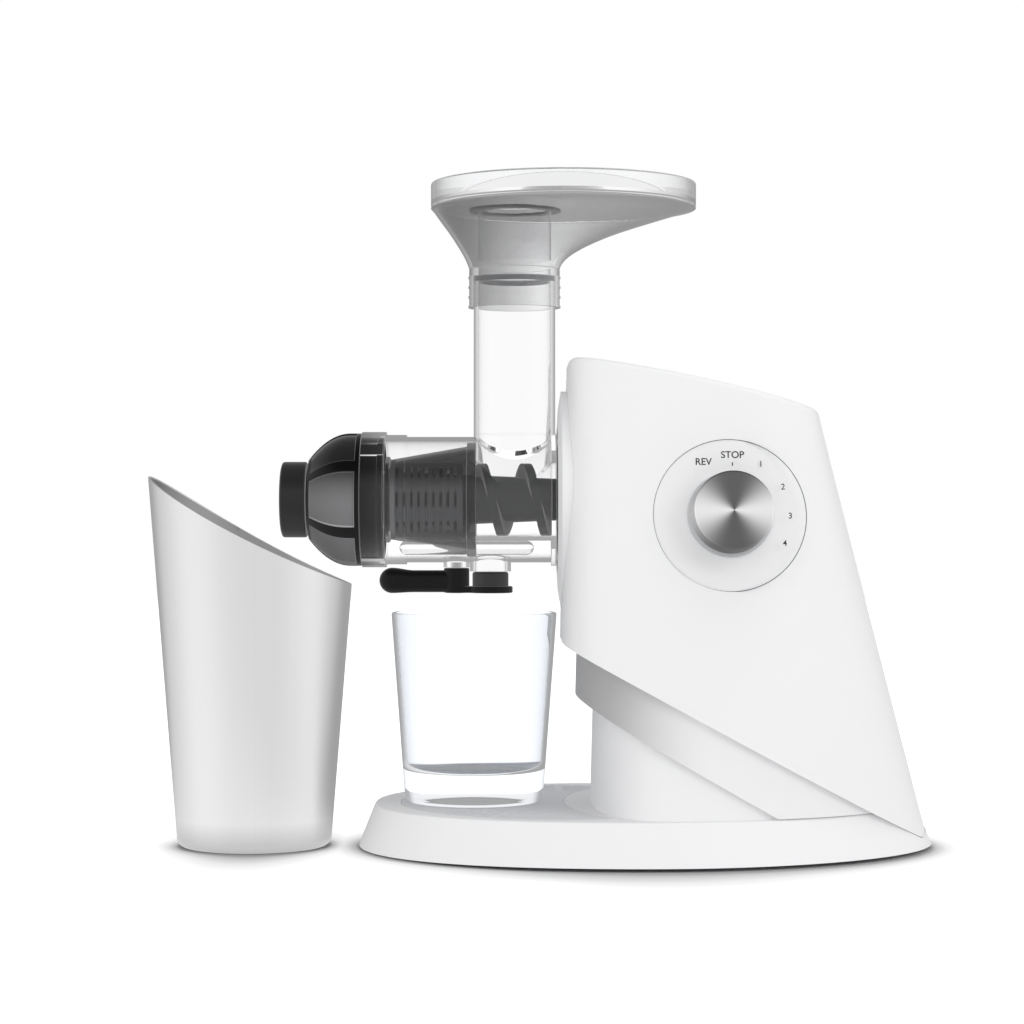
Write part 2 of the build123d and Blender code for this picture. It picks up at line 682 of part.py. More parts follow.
with BuildPart() as inner_body:
    body_form(COWL_WALL + SKIN_GAP, INNER_SET_BACK, INNER_BLUNT_FRONT)
    body_form(
        COWL_WALL + SKIN_GAP + INNER_WALL,
        INNER_SET_BACK + INNER_WALL,
        INNER_BLUNT_FRONT,
        mode=Mode.SUBTRACT,
    )
    deck_z = BASE_TOP_Z + SKIN_GAP
    deck_x = SEAM_FRONT_X + (SEAM_FRONT_Z - INNER_DROP - deck_z) / INNER_SLOPE
    side_slab(
        [
            (BODY_FRONT_X, inner_edge_z(BODY_FRONT_X)),
            (deck_x, deck_z),
            (BODY_REAR_X, deck_z),
            (BODY_REAR_X, seam_z(BODY_REAR_X) + INNER_OVERLAP),
            (BODY_FRONT_X, seam_z(BODY_FRONT_X) + INNER_OVERLAP),
        ]
    )
save(inner_body, "inner_body")

# ---------------------------------------------------------------------------
# Cowl with the dial, and the round bezel in its front
# ---------------------------------------------------------------------------

DIAL_NORMAL = Vector(
    sin(radians(DIAL_YAW)) * cos(radians(DIAL_LEAN)),
    -cos(radians(DIAL_YAW)) * cos(radians(DIAL_LEAN)),
    sin(radians(DIAL_LEAN)),
)
DIAL_PLANE = Plane(origin=(DIAL_X, DIAL_Y, DIAL_Z), x_dir=(1, tan(radians(DIAL_YAW)), 0), z_dir=DIAL_NORMAL)


def dial_disc(start, end, radius, bore=0.0, mode=Mode.ADD):
    """A disc or ring square to the dial, between two heights above its face."""
    with BuildSketch(DIAL_PLANE.offset(start)) as section:
        Circle(radius)
        if bore > 0:
            Circle(bore, mode=Mode.SUBTRACT)
    extrude(section.sketch, amount=end - start, mode=mode)


with BuildPart() as dial_boss:
    body_form(0, 0, COWL_BLUNT_FRONT)
    dial_disc(-DIAL_BOSS_WALL, DIAL_RADIUS, DIAL_RADIUS + DIAL_BOSS_MARGIN, mode=Mode.INTERSECT)

with BuildPart() as cowl_hollow:
    body_form(COWL_WALL, COWL_WALL, COWL_BLUNT_FRONT)
    cowl_slab(COWL_WALL, COWL_WALL)

with BuildPart() as cowl:
    body_form(0, 0, COWL_BLUNT_FRONT)
    cowl_slab(0, 0)
    fillet(cowl.edges().filter_by_position(Axis.Z, COWL_TOP_REAR_Z - 20, 300).group_by(Axis.Z)[-1], COWL_EDGE_RADIUS)
    add(cowl_hollow.part, mode=Mode.SUBTRACT)
    add(dial_boss.part)
    dial_disc(-DIAL_RADIUS, -DIAL_BOSS_WALL, SWITCH_POCKET_RADIUS, mode=Mode.SUBTRACT)
    dial_disc(0, DIAL_RADIUS, DIAL_RADIUS, mode=Mode.SUBTRACT)
    dial_disc(-DIAL_RADIUS, DIAL_RADIUS, SWITCH_BUSH_RADIUS + SEAT_GAP, mode=Mode.SUBTRACT)
    sleeve(BODY_FRONT_X - 5, BEZEL_BACK_X + COWL_WALL, BEZEL_RADIUS + BEZEL_GAP, mode=Mode.SUBTRACT)
save(cowl, "cowl")

with BuildPart() as front_bezel:
    turned(
        [
            (BEZEL_BACK_X, SOCKET_RADIUS + BEZEL_GAP),
            (BEZEL_FRONT_X, SOCKET_RADIUS + BEZEL_GAP),
            ((BEZEL_FRONT_X * 3 + BEZEL_EDGE_X) / 4, SOCKET_RADIUS + (BEZEL_RADIUS - SOCKET_RADIUS) / 2),
            (BEZEL_EDGE_X, BEZEL_RADIUS),
            (BEZEL_BACK_X, BEZEL_RADIUS),
        ]
    )
save(front_bezel, "front_bezel")

with BuildPart() as drum_socket:
    sleeve(SOCKET_FRONT_X, SOCKET_BACK_X, SOCKET_RADIUS, SPIGOT_RADIUS + BEZEL_GAP)
    sleeve(SOCKET_BACK_X - SOCKET_WEB, SOCKET_BACK_X, SOCKET_RADIUS, BEARING_RADIUS + SEAT_GAP)
    chamfer(drum_socket.edges().group_by(Axis.X)[0], 0.6)
save(drum_socket, "drum_socket")

with BuildPart() as shaft_seal:
    sleeve(
        SOCKET_BACK_X - SOCKET_WEB,
        SOCKET_BACK_X - SOCKET_WEB + SEAL_THICKNESS,
        BEARING_RADIUS,
        OUTPUT_SHAFT_RADIUS + RUNNING_CLEARANCE,
    )
save(shaft_seal, "shaft_seal")

# ---------------------------------------------------------------------------
# Drum: a clear jacket with an inner chamber, a stub that the feed tube goes on
# from, a spout, a collar for the end cap in front and a spigot for the socket
# ---------------------------------------------------------------------------

TUBE_FOOT_Z = AXIS_Z + DRUM_RADIUS + TUBE_STUB_HEIGHT
with BuildPart() as drum:
    turned(
        [
            (COLLAR_FRONT_X, 0),
            (COLLAR_FRONT_X, COLLAR_RADIUS),
            (THREAD_FRONT_X, COLLAR_RADIUS),
            (THREAD_FRONT_X, THREAD_RADIUS),
            (DRUM_FRONT_X, THREAD_RADIUS),
            (DRUM_FRONT_X, DRUM_RADIUS),
            (DRUM_REAR_X - DRUM_FLANGE_THICKNESS, DRUM_RADIUS),
            (DRUM_REAR_X - DRUM_FLANGE_THICKNESS, DRUM_FLANGE_RADIUS),
            (DRUM_REAR_X, DRUM_FLANGE_RADIUS),
            (DRUM_REAR_X, SPIGOT_RADIUS),
            (DRUM_REAR_X + SPIGOT_LENGTH, SPIGOT_RADIUS),
            (DRUM_REAR_X + SPIGOT_LENGTH, 0),
        ]
    )
    post(TUBE_X, 0, AXIS_Z, TUBE_FOOT_Z, TUBE_RADIUS)
    post(SPOUT_X, 0, SPOUT_BOTTOM_Z, AXIS_Z, SPOUT_RADIUS)
    post(PIVOT_X, 0, PIVOT_BOSS_BOTTOM_Z, AXIS_Z, PIVOT_BOSS_RADIUS)
    turned(
        [
            (COLLAR_FRONT_X, 0),
            (COLLAR_FRONT_X, COLLAR_BORE),
            (COLLAR_FRONT_X + CAP_SKIRT_LENGTH + SKIN_GAP, COLLAR_BORE),
            (COLLAR_FRONT_X + CAP_SKIRT_LENGTH + SKIN_GAP, DRUM_BORE),
            (DRUM_REAR_X - DRUM_FLANGE_THICKNESS, DRUM_BORE),
            (DRUM_REAR_X - DRUM_FLANGE_THICKNESS, 0),
        ],
        mode=Mode.SUBTRACT,
    )
    sleeve(DRUM_REAR_X, DRUM_REAR_X + SPIGOT_LENGTH, SPIGOT_RADIUS - SPIGOT_WALL, mode=Mode.SUBTRACT)
    sleeve(CHAMBER_FRONT_X, DRUM_REAR_X, CHAMBER_RADIUS + CHAMBER_WALL)
    post(TUBE_X, 0, AXIS_Z, TUBE_FOOT_Z, TUBE_RADIUS)
    sleeve(CHAMBER_FRONT_X, DRUM_REAR_X, CHAMBER_RADIUS, mode=Mode.SUBTRACT)
    post(TUBE_X, 0, AXIS_Z, TUBE_FOOT_Z, TUBE_RADIUS - TUBE_WALL, mode=Mode.SUBTRACT)
    post(SPOUT_X, 0, SPOUT_BOTTOM_Z, AXIS_Z - CHAMBER_RADIUS - CHAMBER_WALL, SPOUT_BORE, mode=Mode.SUBTRACT)
    post(PIVOT_X, 0, PIVOT_BOSS_BOTTOM_Z, AXIS_Z - DRUM_RADIUS, PIVOT_PIN_RADIUS, mode=Mode.SUBTRACT)
    lug_start = COLLAR_FRONT_X + CAP_SKIRT_LENGTH - CAP_LUG_LENGTH - SKIN_GAP
    lug_bore = COLLAR_BORE + CAP_LUG_REACH
    sleeve(lug_start, COLLAR_FRONT_X + CAP_SKIRT_LENGTH + SKIN_GAP, lug_bore, mode=Mode.SUBTRACT)
    with BuildSketch(along_x(COLLAR_FRONT_X)) as lug_ways:
        with PolarLocations(lug_bore - CAP_LUG_REACH, CAP_LUGS, start_angle=90 + CAP_TURN):
            Rectangle(CAP_LUG_REACH * 2, CAP_LUG_WIDTH + 2 * SKIN_GAP)
    extrude(lug_ways.sketch, amount=CAP_SKIRT_LENGTH, mode=Mode.SUBTRACT)
save(drum, "drum")

with BuildPart() as feed_tube:
    post(TUBE_X, 0, TUBE_FOOT_Z, TUBE_TOP_Z, TUBE_RADIUS, TUBE_RADIUS - TUBE_WALL)
save(feed_tube, "feed_tube")

with BuildPart() as drum_seal:
    sleeve(
        DRUM_REAR_X + SPIGOT_LENGTH - AUGER_SEAL_THICKNESS,
        DRUM_REAR_X + SPIGOT_LENGTH,
        SPIGOT_RADIUS - SPIGOT_WALL - SEAT_GAP,
        AUGER_SEAL_RADIUS + BEZEL_GAP,
    )
save(drum_seal, "drum_seal")

# ---------------------------------------------------------------------------
# Screen and auger
# ---------------------------------------------------------------------------

SCREEN_FRONT_X = COLLAR_FRONT_X + CAP_SKIRT_LENGTH + SKIN_GAP
SCREEN_REAR_X = CHAMBER_FRONT_X - SKIN_GAP
WINDOW_START_X = SCREEN_FRONT_X + SCREEN_FLANGE_THICKNESS * 2
WINDOW_END_X = SCREEN_REAR_X - SCREEN_RIM_THICKNESS * 2
with BuildPart() as screen_frame:
    sleeve(SCREEN_FRONT_X, SCREEN_REAR_X, SCREEN_RADIUS, SCREEN_BORE)
    sleeve(SCREEN_FRONT_X, SCREEN_FRONT_X + SCREEN_FLANGE_THICKNESS, SCREEN_FLANGE_RADIUS, SCREEN_BORE)
    sleeve(SCREEN_REAR_X - SCREEN_RIM_THICKNESS, SCREEN_REAR_X, SCREEN_RIM_RADIUS, SCREEN_BORE)
    with BuildSketch(along_x(WINDOW_START_X)) as windows:
        with PolarLocations(SCREEN_RADIUS, MESH_WINDOWS):
            Rectangle(SCREEN_RADIUS / 2, SCREEN_RADIUS * 1.6 * sin(pi / MESH_WINDOWS))
    extrude(windows.sketch, amount=WINDOW_END_X - WINDOW_START_X, mode=Mode.SUBTRACT)
save(screen_frame, "screen_frame")

with BuildPart() as screen_mesh:
    mesh_radius = SCREEN_BORE - SEAT_GAP
    sleeve(WINDOW_START_X - 2, WINDOW_END_X + 2, mesh_radius, mesh_radius - MESH_THICKNESS)
    mesh_step = (WINDOW_END_X - WINDOW_START_X) / MESH_SLOTS
    for slot in range(MESH_SLOTS):
        slot_x = WINDOW_START_X + mesh_step * (slot + 0.3)
        with BuildSketch(along_x(slot_x)) as mesh_slots:
            with PolarLocations(mesh_radius, MESH_WINDOWS):
                Rectangle(MESH_THICKNESS * 4, mesh_radius * sin(pi / MESH_WINDOWS))
        extrude(mesh_slots.sketch, amount=mesh_step * 0.4, mode=Mode.SUBTRACT)
save(screen_mesh, "screen_mesh")

AUGER_FRONT_X = COLLAR_FRONT_X + CAP_SKIRT_LENGTH - CAP_LUG_LENGTH * 2
AUGER_REAR_X = DRUM_REAR_X + SPIGOT_LENGTH - AUGER_COLLAR_THICKNESS - AUGER_SEAL_THICKNESS
HEX_END_X = COUPLING_FRONT_X + COUPLING_POCKET - 1.0
FLIGHT_START_X = SCREEN_FRONT_X + FLIGHT_THICKNESS
FLIGHT_END_X = DRUM_REAR_X - FLIGHT_THICKNESS
with BuildPart() as auger:
    turned(
        [
            (AUGER_FRONT_X - AUGER_TIP_LENGTH, 0),
            (AUGER_FRONT_X - AUGER_TIP_LENGTH, AUGER_TIP_RADIUS),
            (AUGER_FRONT_X, AUGER_TIP_RADIUS),
            (AUGER_FRONT_X, AUGER_CORE_FRONT),
            (SCREEN_FRONT_X, AUGER_CORE_FRONT),
            (DRUM_REAR_X, AUGER_CORE_REAR),
            (AUGER_REAR_X, AUGER_CORE_REAR),
            (AUGER_REAR_X, 0),
        ]
    )
    with BuildSketch(Plane(origin=(FLIGHT_START_X, 0, AXIS_Z), x_dir=(1, 0, 0), z_dir=(0, -1, 0))) as flight:
        with Locations(((0, (AUGER_CORE_REAR - 1.5 + AUGER_RADIUS) / 2))):
            Rectangle(FLIGHT_THICKNESS, AUGER_RADIUS - AUGER_CORE_REAR + 1.5)
    flight_path = Helix(
        FLIGHT_PITCH,
        FLIGHT_END_X - FLIGHT_START_X,
        (AUGER_CORE_REAR + AUGER_RADIUS) / 2,
        center=(FLIGHT_START_X, 0, AXIS_Z),
        direction=(1, 0, 0),
        mode=Mode.PRIVATE,
    )
    sweep(flight.sketch, path=flight_path, is_frenet=True)
    sleeve(AUGER_REAR_X, AUGER_REAR_X + AUGER_COLLAR_THICKNESS, AUGER_COLLAR_RADIUS)
    with BuildSketch(along_x(AUGER_REAR_X)) as hexagon:
        RegularPolygon(HEX_ACROSS_FLATS / 2, 6, major_radius=False)
    extrude(hexagon.sketch, amount=HEX_END_X - AUGER_REAR_X)
save(auger, "auger")

with BuildPart() as auger_seal:
    seal_x = AUGER_REAR_X + AUGER_COLLAR_THICKNESS
    sleeve(seal_x, seal_x + AUGER_SEAL_THICKNESS, AUGER_SEAL_RADIUS, HEX_ACROSS_FLATS / 2 * 2 / sqrt(3) + SEAT_GAP)
save(auger_seal, "auger_seal")

# ---------------------------------------------------------------------------
# End cap with its pulp nozzle
# ---------------------------------------------------------------------------

CAP_REAR_X = COLLAR_FRONT_X - SKIN_GAP
CAP_DOME_X = CAP_REAR_X - CAP_RING_LENGTH
CAP_NOSE_X = CAP_DOME_X - CAP_DOME_LENGTH
CAP_MOUTH_X = CAP_NOSE_X - CAP_NECK_LENGTH
CAP_DOME_SHAPE = ((0, 0), (0.1, 0.015), (0.3, 0.1), (0.55, 0.3), (0.78, 0.61), (0.92, 0.85), (1, 1))


def dome_points(depth=0.0):
    """Points along the dome, from the ring to the nose, a depth inside its skin."""
    fall = CAP_RING_RADIUS - CAP_NOSE_RADIUS
    return [(CAP_DOME_X - CAP_DOME_LENGTH * along, CAP_RING_RADIUS - fall * down - depth) for along, down in CAP_DOME_SHAPE]


with BuildPart() as cap_panel:
    with BuildSketch(DRUM_SIDE) as panel_outline:
        with BuildLine():
            panel_floor = dome_points(CAP_PANEL_DEPTH)[1:-1]
            above = CAP_RING_RADIUS + CAP_PANEL_DEPTH
            Spline(*panel_floor)
            Polyline(panel_floor[-1], (panel_floor[-1][0], above), (panel_floor[0][0], above), panel_floor[0])
        make_face()
    revolve(panel_outline.sketch, axis=DRUM_AXIS, revolution_arc=CAP_PANEL_ANGLE)

with BuildPart() as end_cap:
    with BuildSketch(DRUM_SIDE) as cap_outline:
        with BuildLine():
            Spline(*dome_points())
            Polyline(
                (CAP_NOSE_X, CAP_NOSE_RADIUS),
                (CAP_NOSE_X, CAP_NECK_RADIUS),
                (CAP_MOUTH_X, CAP_NECK_RADIUS),
                (CAP_MOUTH_X, 0),
                (CAP_REAR_X, 0),
                (CAP_REAR_X, CAP_RING_RADIUS),
                (CAP_DOME_X, CAP_RING_RADIUS),
            )
        make_face()
    revolve(cap_outline.sketch, axis=DRUM_AXIS)
    sleeve(CAP_REAR_X, COLLAR_FRONT_X + CAP_SKIRT_LENGTH, CAP_SKIRT_RADIUS)
    turned(
        [
            (COLLAR_FRONT_X + CAP_SKIRT_LENGTH, 0),
            (COLLAR_FRONT_X + CAP_SKIRT_LENGTH, CAP_SKIRT_RADIUS - CAP_WALL),
            (CAP_DOME_X, CAP_SKIRT_RADIUS - CAP_WALL),
            (CAP_NOSE_X + CAP_WALL * 2, CAP_NOSE_RADIUS - CAP_WALL),
            (CAP_NOSE_X + CAP_WALL, NOZZLE_TUBE_RADIUS + CAP_WALL),
            (CAP_NOSE_X + CAP_WALL, NOZZLE_TUBE_RADIUS + SKIN_GAP),
            (CAP_MOUTH_X, NOZZLE_TUBE_RADIUS + SKIN_GAP),
            (CAP_MOUTH_X, 0),
        ],
        mode=Mode.SUBTRACT,
    )
    for panel in range(CAP_PANELS):
        turn = 90 - CAP_PANEL_ANGLE / 2 + 360 / CAP_PANELS * panel
        add(cap_panel.part.rotate(DRUM_AXIS, turn), mode=Mode.SUBTRACT)
    with BuildSketch(along_x(COLLAR_FRONT_X + CAP_SKIRT_LENGTH - CAP_LUG_LENGTH)) as cap_lugs:
        with PolarLocations(CAP_SKIRT_RADIUS, CAP_LUGS, start_angle=90):
            Rectangle((CAP_LUG_REACH - SKIN_GAP / 2) * 2, CAP_LUG_WIDTH)
        Circle(CAP_SKIRT_RADIUS - CAP_WALL, mode=Mode.SUBTRACT)
    extrude(cap_lugs.sketch, amount=CAP_LUG_LENGTH)
save(end_cap, "end_cap")

with BuildPart() as pulp_nozzle:
    nozzle_x = CAP_MOUTH_X - SKIN_GAP
    turned(
        [
            (nozzle_x - NOZZLE_LENGTH, NOZZLE_RADIUS - 1.2),
            (nozzle_x - NOZZLE_LENGTH + 1.2, NOZZLE_RADIUS),
            (nozzle_x, NOZZLE_RADIUS),
            (nozzle_x, NOZZLE_TUBE_RADIUS),
            (nozzle_x + NOZZLE_TUBE_LENGTH, NOZZLE_TUBE_RADIUS),
            (nozzle_x + NOZZLE_TUBE_LENGTH, NOZZLE_BORE),
            (nozzle_x, NOZZLE_BORE),
            (nozzle_x - NOZZLE_LENGTH, NOZZLE_RADIUS - CAP_WALL),
        ]
    )
save(pulp_nozzle, "pulp_nozzle")

with BuildPart() as nozzle_seal:
    seal_x = CAP_NOSE_X + CAP_WALL
    sleeve(seal_x, seal_x + NOZZLE_SEAL_LENGTH, NOZZLE_TUBE_RADIUS + CAP_WALL - SKIN_GAP, NOZZLE_TUBE_RADIUS + SEAT_GAP)
save(nozzle_seal, "nozzle_seal")

# ---------------------------------------------------------------------------
# Spout lever, its seal and its pin
# ---------------------------------------------------------------------------

LEVER_HUB_TOP_Z = PIVOT_BOSS_BOTTOM_Z - LEVER_LIFT_GAP
BULB_X = LEVER_END_X + LEVER_BULB_RADIUS
with BuildPart() as spout_lever:
    with BuildSketch(Plane.XY.offset(LEVER_BOTTOM_Z)) as arm_plan:
        with BuildLine():
            Polyline(
                (BULB_X, LEVER_BULB_RADIUS * 0.9),
                (PIVOT_X - LEVER_HUB_RADIUS, LEVER_ARM_WIDTH / 2),
                (PIVOT_X, LEVER_HUB_RADIUS),
                (SPOUT_X, LEVER_DISC_RADIUS),
                (SPOUT_X, -LEVER_DISC_RADIUS),
                (PIVOT_X, -LEVER_HUB_RADIUS),
                (PIVOT_X - LEVER_HUB_RADIUS, -LEVER_ARM_WIDTH / 2),
                (BULB_X, -LEVER_BULB_RADIUS * 0.9),
                close=True,
            )
        make_face()
        with Locations((BULB_X, 0)):
            Circle(LEVER_BULB_RADIUS)
        with Locations((PIVOT_X, 0)):
            Circle(LEVER_HUB_RADIUS)
        with Locations((SPOUT_X, 0)):
            Circle(LEVER_DISC_RADIUS)
    extrude(arm_plan.sketch, amount=LEVER_HANDLE_THICKNESS)
    side_slab(
        [
            (LEVER_END_X - 1, LEVER_BOTTOM_Z + 4.0),
            (BULB_X, LEVER_BOTTOM_Z),
            (SPOUT_X + LEVER_DISC_RADIUS + 1, LEVER_BOTTOM_Z),
            (SPOUT_X + LEVER_DISC_RADIUS + 1, LEVER_BOTTOM_Z + LEVER_THICKNESS * 0.6),
            (PIVOT_X + LEVER_HUB_RADIUS, LEVER_BOTTOM_Z + LEVER_THICKNESS * 0.6),
            (PIVOT_X + LEVER_HUB_RADIUS, LEVER_BOTTOM_Z + LEVER_THICKNESS),
            (PIVOT_X - LEVER_HUB_RADIUS, LEVER_BOTTOM_Z + LEVER_THICKNESS * 1.5),
            (BULB_X + LEVER_BULB_RADIUS, LEVER_BOTTOM_Z + LEVER_HANDLE_THICKNESS),
            (BULB_X - LEVER_BULB_RADIUS / 2, LEVER_BOTTOM_Z + LEVER_HANDLE_THICKNESS),
            (LEVER_END_X - 1, LEVER_BOTTOM_Z + LEVER_HANDLE_THICKNESS - 4.0),
        ]
    )
    post(PIVOT_X, 0, LEVER_BOTTOM_Z, LEVER_HUB_TOP_Z, LEVER_HUB_RADIUS)
    post(PIVOT_X, 0, LEVER_BOTTOM_Z, LEVER_HUB_TOP_Z, PIVOT_PIN_RADIUS + RUNNING_CLEARANCE, mode=Mode.SUBTRACT)
    head_top = LEVER_BOTTOM_Z + SCREW_HEAD_HEIGHT
    post(PIVOT_X, 0, LEVER_BOTTOM_Z, head_top, PIVOT_PIN_RADIUS * 2 + SEAT_GAP, mode=Mode.SUBTRACT)
save(spout_lever, "spout_lever")

with BuildPart() as spout_seal:
    post(SPOUT_X, 0, LEVER_BOTTOM_Z + LEVER_THICKNESS * 0.6, SPOUT_BOTTOM_Z - LEVER_LIFT_GAP, SEAL_RADIUS)
    chamfer(spout_seal.edges().group_by(Axis.Z)[-1], 0.8)
save(spout_seal, "spout_seal")

with BuildPart() as lever_pin:
    post(PIVOT_X, 0, LEVER_BOTTOM_Z, LEVER_BOTTOM_Z + SCREW_HEAD_HEIGHT, PIVOT_PIN_RADIUS * 2 - SEAT_GAP)
    post(PIVOT_X, 0, LEVER_BOTTOM_Z, AXIS_Z - DRUM_RADIUS - SEAT_GAP, PIVOT_PIN_RADIUS - SEAT_GAP)
save(lever_pin, "lever_pin")

# ---------------------------------------------------------------------------
# Hopper: a trumpet funnel on the feed tube, and a dish on top of it
# ---------------------------------------------------------------------------


def trumpet(inset, bottom_z, top_z, mode=Mode.ADD):
    """The funnel's skirt: circles that widen and drift from the neck to the rim."""
    sections = []
    for step in range(SKIRT_STEPS + 1):
        part_way = step / SKIRT_STEPS
        z = bottom_z + (top_z - bottom_z) * part_way
        left = (TUBE_X - NECK_RADIUS) + (HOPPER_RIM_X - HOPPER_RIM_RADIUS - TUBE_X + NECK_RADIUS) * part_way**1.25
        right = (TUBE_X + NECK_RADIUS) + (HOPPER_RIM_X + HOPPER_RIM_RADIUS - TUBE_X - NECK_RADIUS) * part_way**1.7
        with BuildSketch(Plane.XY.offset(z)) as section:
            with Locations(((left + right) / 2, 0)):
                Circle((right - left) / 2 - inset)
        sections.append(section.sketch)
    loft(sections, mode=mode)


with BuildPart() as hopper_funnel:
    trumpet(0, NECK_TOP_Z, HOPPER_RIM_Z)
    post(TUBE_X, 0, NECK_BOTTOM_Z, NECK_TOP_Z, NECK_RADIUS)
    trumpet(HOPPER_WALL, NECK_TOP_Z, HOPPER_RIM_Z, mode=Mode.SUBTRACT)
    post(TUBE_X, 0, TUBE_TOP_Z + NECK_CLEARANCE, NECK_TOP_Z, TUBE_RADIUS - TUBE_WALL, mode=Mode.SUBTRACT)
    post(TUBE_X, 0, NECK_BOTTOM_Z, TUBE_TOP_Z + NECK_CLEARANCE, TUBE_RADIUS + NECK_CLEARANCE, mode=Mode.SUBTRACT)
    for rib in range(NECK_RIBS):
        rib_z = NECK_BOTTOM_Z + (NECK_TOP_Z - NECK_BOTTOM_Z) * rib / NECK_RIBS
        post(TUBE_X, 0, rib_z, rib_z + NECK_RIB_HEIGHT, NECK_RADIUS + NECK_RIB_HEIGHT / 2, TUBE_RADIUS + NECK_CLEARANCE)
save(hopper_funnel, "hopper_funnel")

with BuildPart() as hopper_tray:
    post(HOPPER_RIM_X, 0, HOPPER_RIM_Z + SKIN_GAP, HOPPER_TOP_Z, HOPPER_RIM_RADIUS)
    rim_floor = HOPPER_RIM_RADIUS - HOPPER_WALL
    post(HOPPER_RIM_X, 0, HOPPER_RIM_Z + SKIN_GAP + HOPPER_WALL, HOPPER_TOP_Z, rim_floor, mode=Mode.SUBTRACT)
    post(TUBE_X, 0, CHUTE_BOTTOM_Z, HOPPER_RIM_Z + SKIN_GAP, CHUTE_RADIUS)
    post(TUBE_X, 0, CHUTE_BOTTOM_Z, HOPPER_TOP_Z, CHUTE_RADIUS - CHUTE_WALL, mode=Mode.SUBTRACT)
    fillet(hopper_tray.edges().group_by(Axis.Z)[-1], 0.8)
save(hopper_tray, "hopper_tray")

with BuildPart() as hopper_seal:
    post(
        TUBE_X,
        0,
        TUBE_TOP_Z + NECK_CLEARANCE - HOPPER_SEAL_HEIGHT,
        TUBE_TOP_Z,
        TUBE_RADIUS + NECK_CLEARANCE - SEAT_GAP,
        TUBE_RADIUS + SEAT_GAP,
    )
save(hopper_seal, "hopper_seal")

# ---------------------------------------------------------------------------
# Containers
# ---------------------------------------------------------------------------

with BuildPart() as juice_glass:
    inside_z = GLASS_BOTTOM_Z + GLASS_BASE
    flare = (GLASS_TOP_RADIUS - GLASS_BOTTOM_RADIUS) / (GLASS_TOP_Z - GLASS_BOTTOM_Z)
    upright(
        [
            (0, GLASS_BOTTOM_Z),
            (GLASS_BOTTOM_RADIUS, GLASS_BOTTOM_Z),
            (GLASS_TOP_RADIUS, GLASS_TOP_Z),
            (GLASS_TOP_RADIUS - GLASS_WALL, GLASS_TOP_Z),
            (GLASS_BOTTOM_RADIUS + flare * GLASS_BASE - GLASS_WALL, inside_z),
            (0, inside_z),
        ],
        GLASS_X,
    )
    fillet(juice_glass.edges().group_by(Axis.Z)[0], GLASS_ROUND)
    fillet(juice_glass.edges().group_by(Axis.Z)[-1], GLASS_WALL * 0.4)
save(juice_glass, "juice_glass")

CUP_LIP_RADIUS = CUP_BOTTOM_RADIUS + CUP_FLARE * CUP_LIP_Z
CUP_TIP_RADIUS = CUP_BOTTOM_RADIUS + CUP_FLARE * CUP_TIP_Z
CUP_TIP_SLOPE = (CUP_MIDDLE_Z - CUP_TIP_Z) / CUP_TIP_RADIUS
CUP_LIP_SLOPE = (CUP_LIP_Z - CUP_MIDDLE_Z) / CUP_LIP_RADIUS
CUP_SAG = (CUP_LIP_SLOPE - CUP_TIP_SLOPE) / (CUP_LIP_RADIUS + CUP_TIP_RADIUS)


def cup_rim(reach):
    """A point of the slanted rim's curve, at a distance from the cup's middle."""
    return (reach, CUP_MIDDLE_Z + reach * (CUP_LIP_SLOPE + CUP_SAG * (reach - CUP_LIP_RADIUS)))


with BuildPart() as pulp_cup:
    blank_z = CUP_TIP_Z + CUP_CUT_MARGIN
    blank_radius = CUP_BOTTOM_RADIUS + CUP_FLARE * blank_z
    upright([(0, 0), (CUP_BOTTOM_RADIUS, 0), (blank_radius, blank_z), (0, blank_z)], CUP_X)
    fillet(pulp_cup.edges().group_by(Axis.Z)[0], CUP_FOOT_ROUND)
    upright(
        [
            (0, CUP_WALL),
            (CUP_BOTTOM_RADIUS - CUP_WALL - CUP_FOOT_ROUND / 2, CUP_WALL),
            (CUP_BOTTOM_RADIUS - CUP_WALL, CUP_WALL + CUP_FOOT_ROUND / 2),
            (blank_radius - CUP_WALL, blank_z),
            (0, blank_z),
        ],
        CUP_X,
        mode=Mode.SUBTRACT,
    )
    cut_reach = CUP_TIP_RADIUS + CUP_CUT_MARGIN
    across = (cos(radians(CUP_TWIST)), -sin(radians(CUP_TWIST)), 0)
    with BuildSketch(Plane(origin=(CUP_X, 0, 0), x_dir=across, z_dir=(across[1], -across[0], 0))) as rim_cut:
        with BuildLine():
            ThreePointArc(cup_rim(-cut_reach), cup_rim(0), cup_rim(cut_reach))
            Polyline(
                cup_rim(cut_reach),
                (cut_reach, blank_z + CUP_CUT_MARGIN),
                (-cut_reach, blank_z + CUP_CUT_MARGIN),
                cup_rim(-cut_reach),
            )
        make_face()
    extrude(rim_cut.sketch, amount=cut_reach, both=True, mode=Mode.SUBTRACT)
save(pulp_cup, "pulp_cup")

# ---------------------------------------------------------------------------
# Chassis, gearbox and gear train
# ---------------------------------------------------------------------------

CHASSIS_FRONT_X = SOCKET_BACK_X
RAIL_BOTTOM_Z = BASE_TOP_Z
SHAFT_PLACES = [(FIRST_Y, FIRST_Z), (SECOND_Y, SECOND_Z)]
CASE_SCREW_PLACES = [
    (
        GEARBOX_MIDDLE_Y + side_y * (GEARBOX_HALF_WIDTH - GEARBOX_SCREW_INSET),
        GEARBOX_MIDDLE_Z + side_z * (GEARBOX_HALF_HEIGHT - GEARBOX_SCREW_INSET),
    )
    for side_y in (-1, 1)
    for side_z in (-1, 1)
]

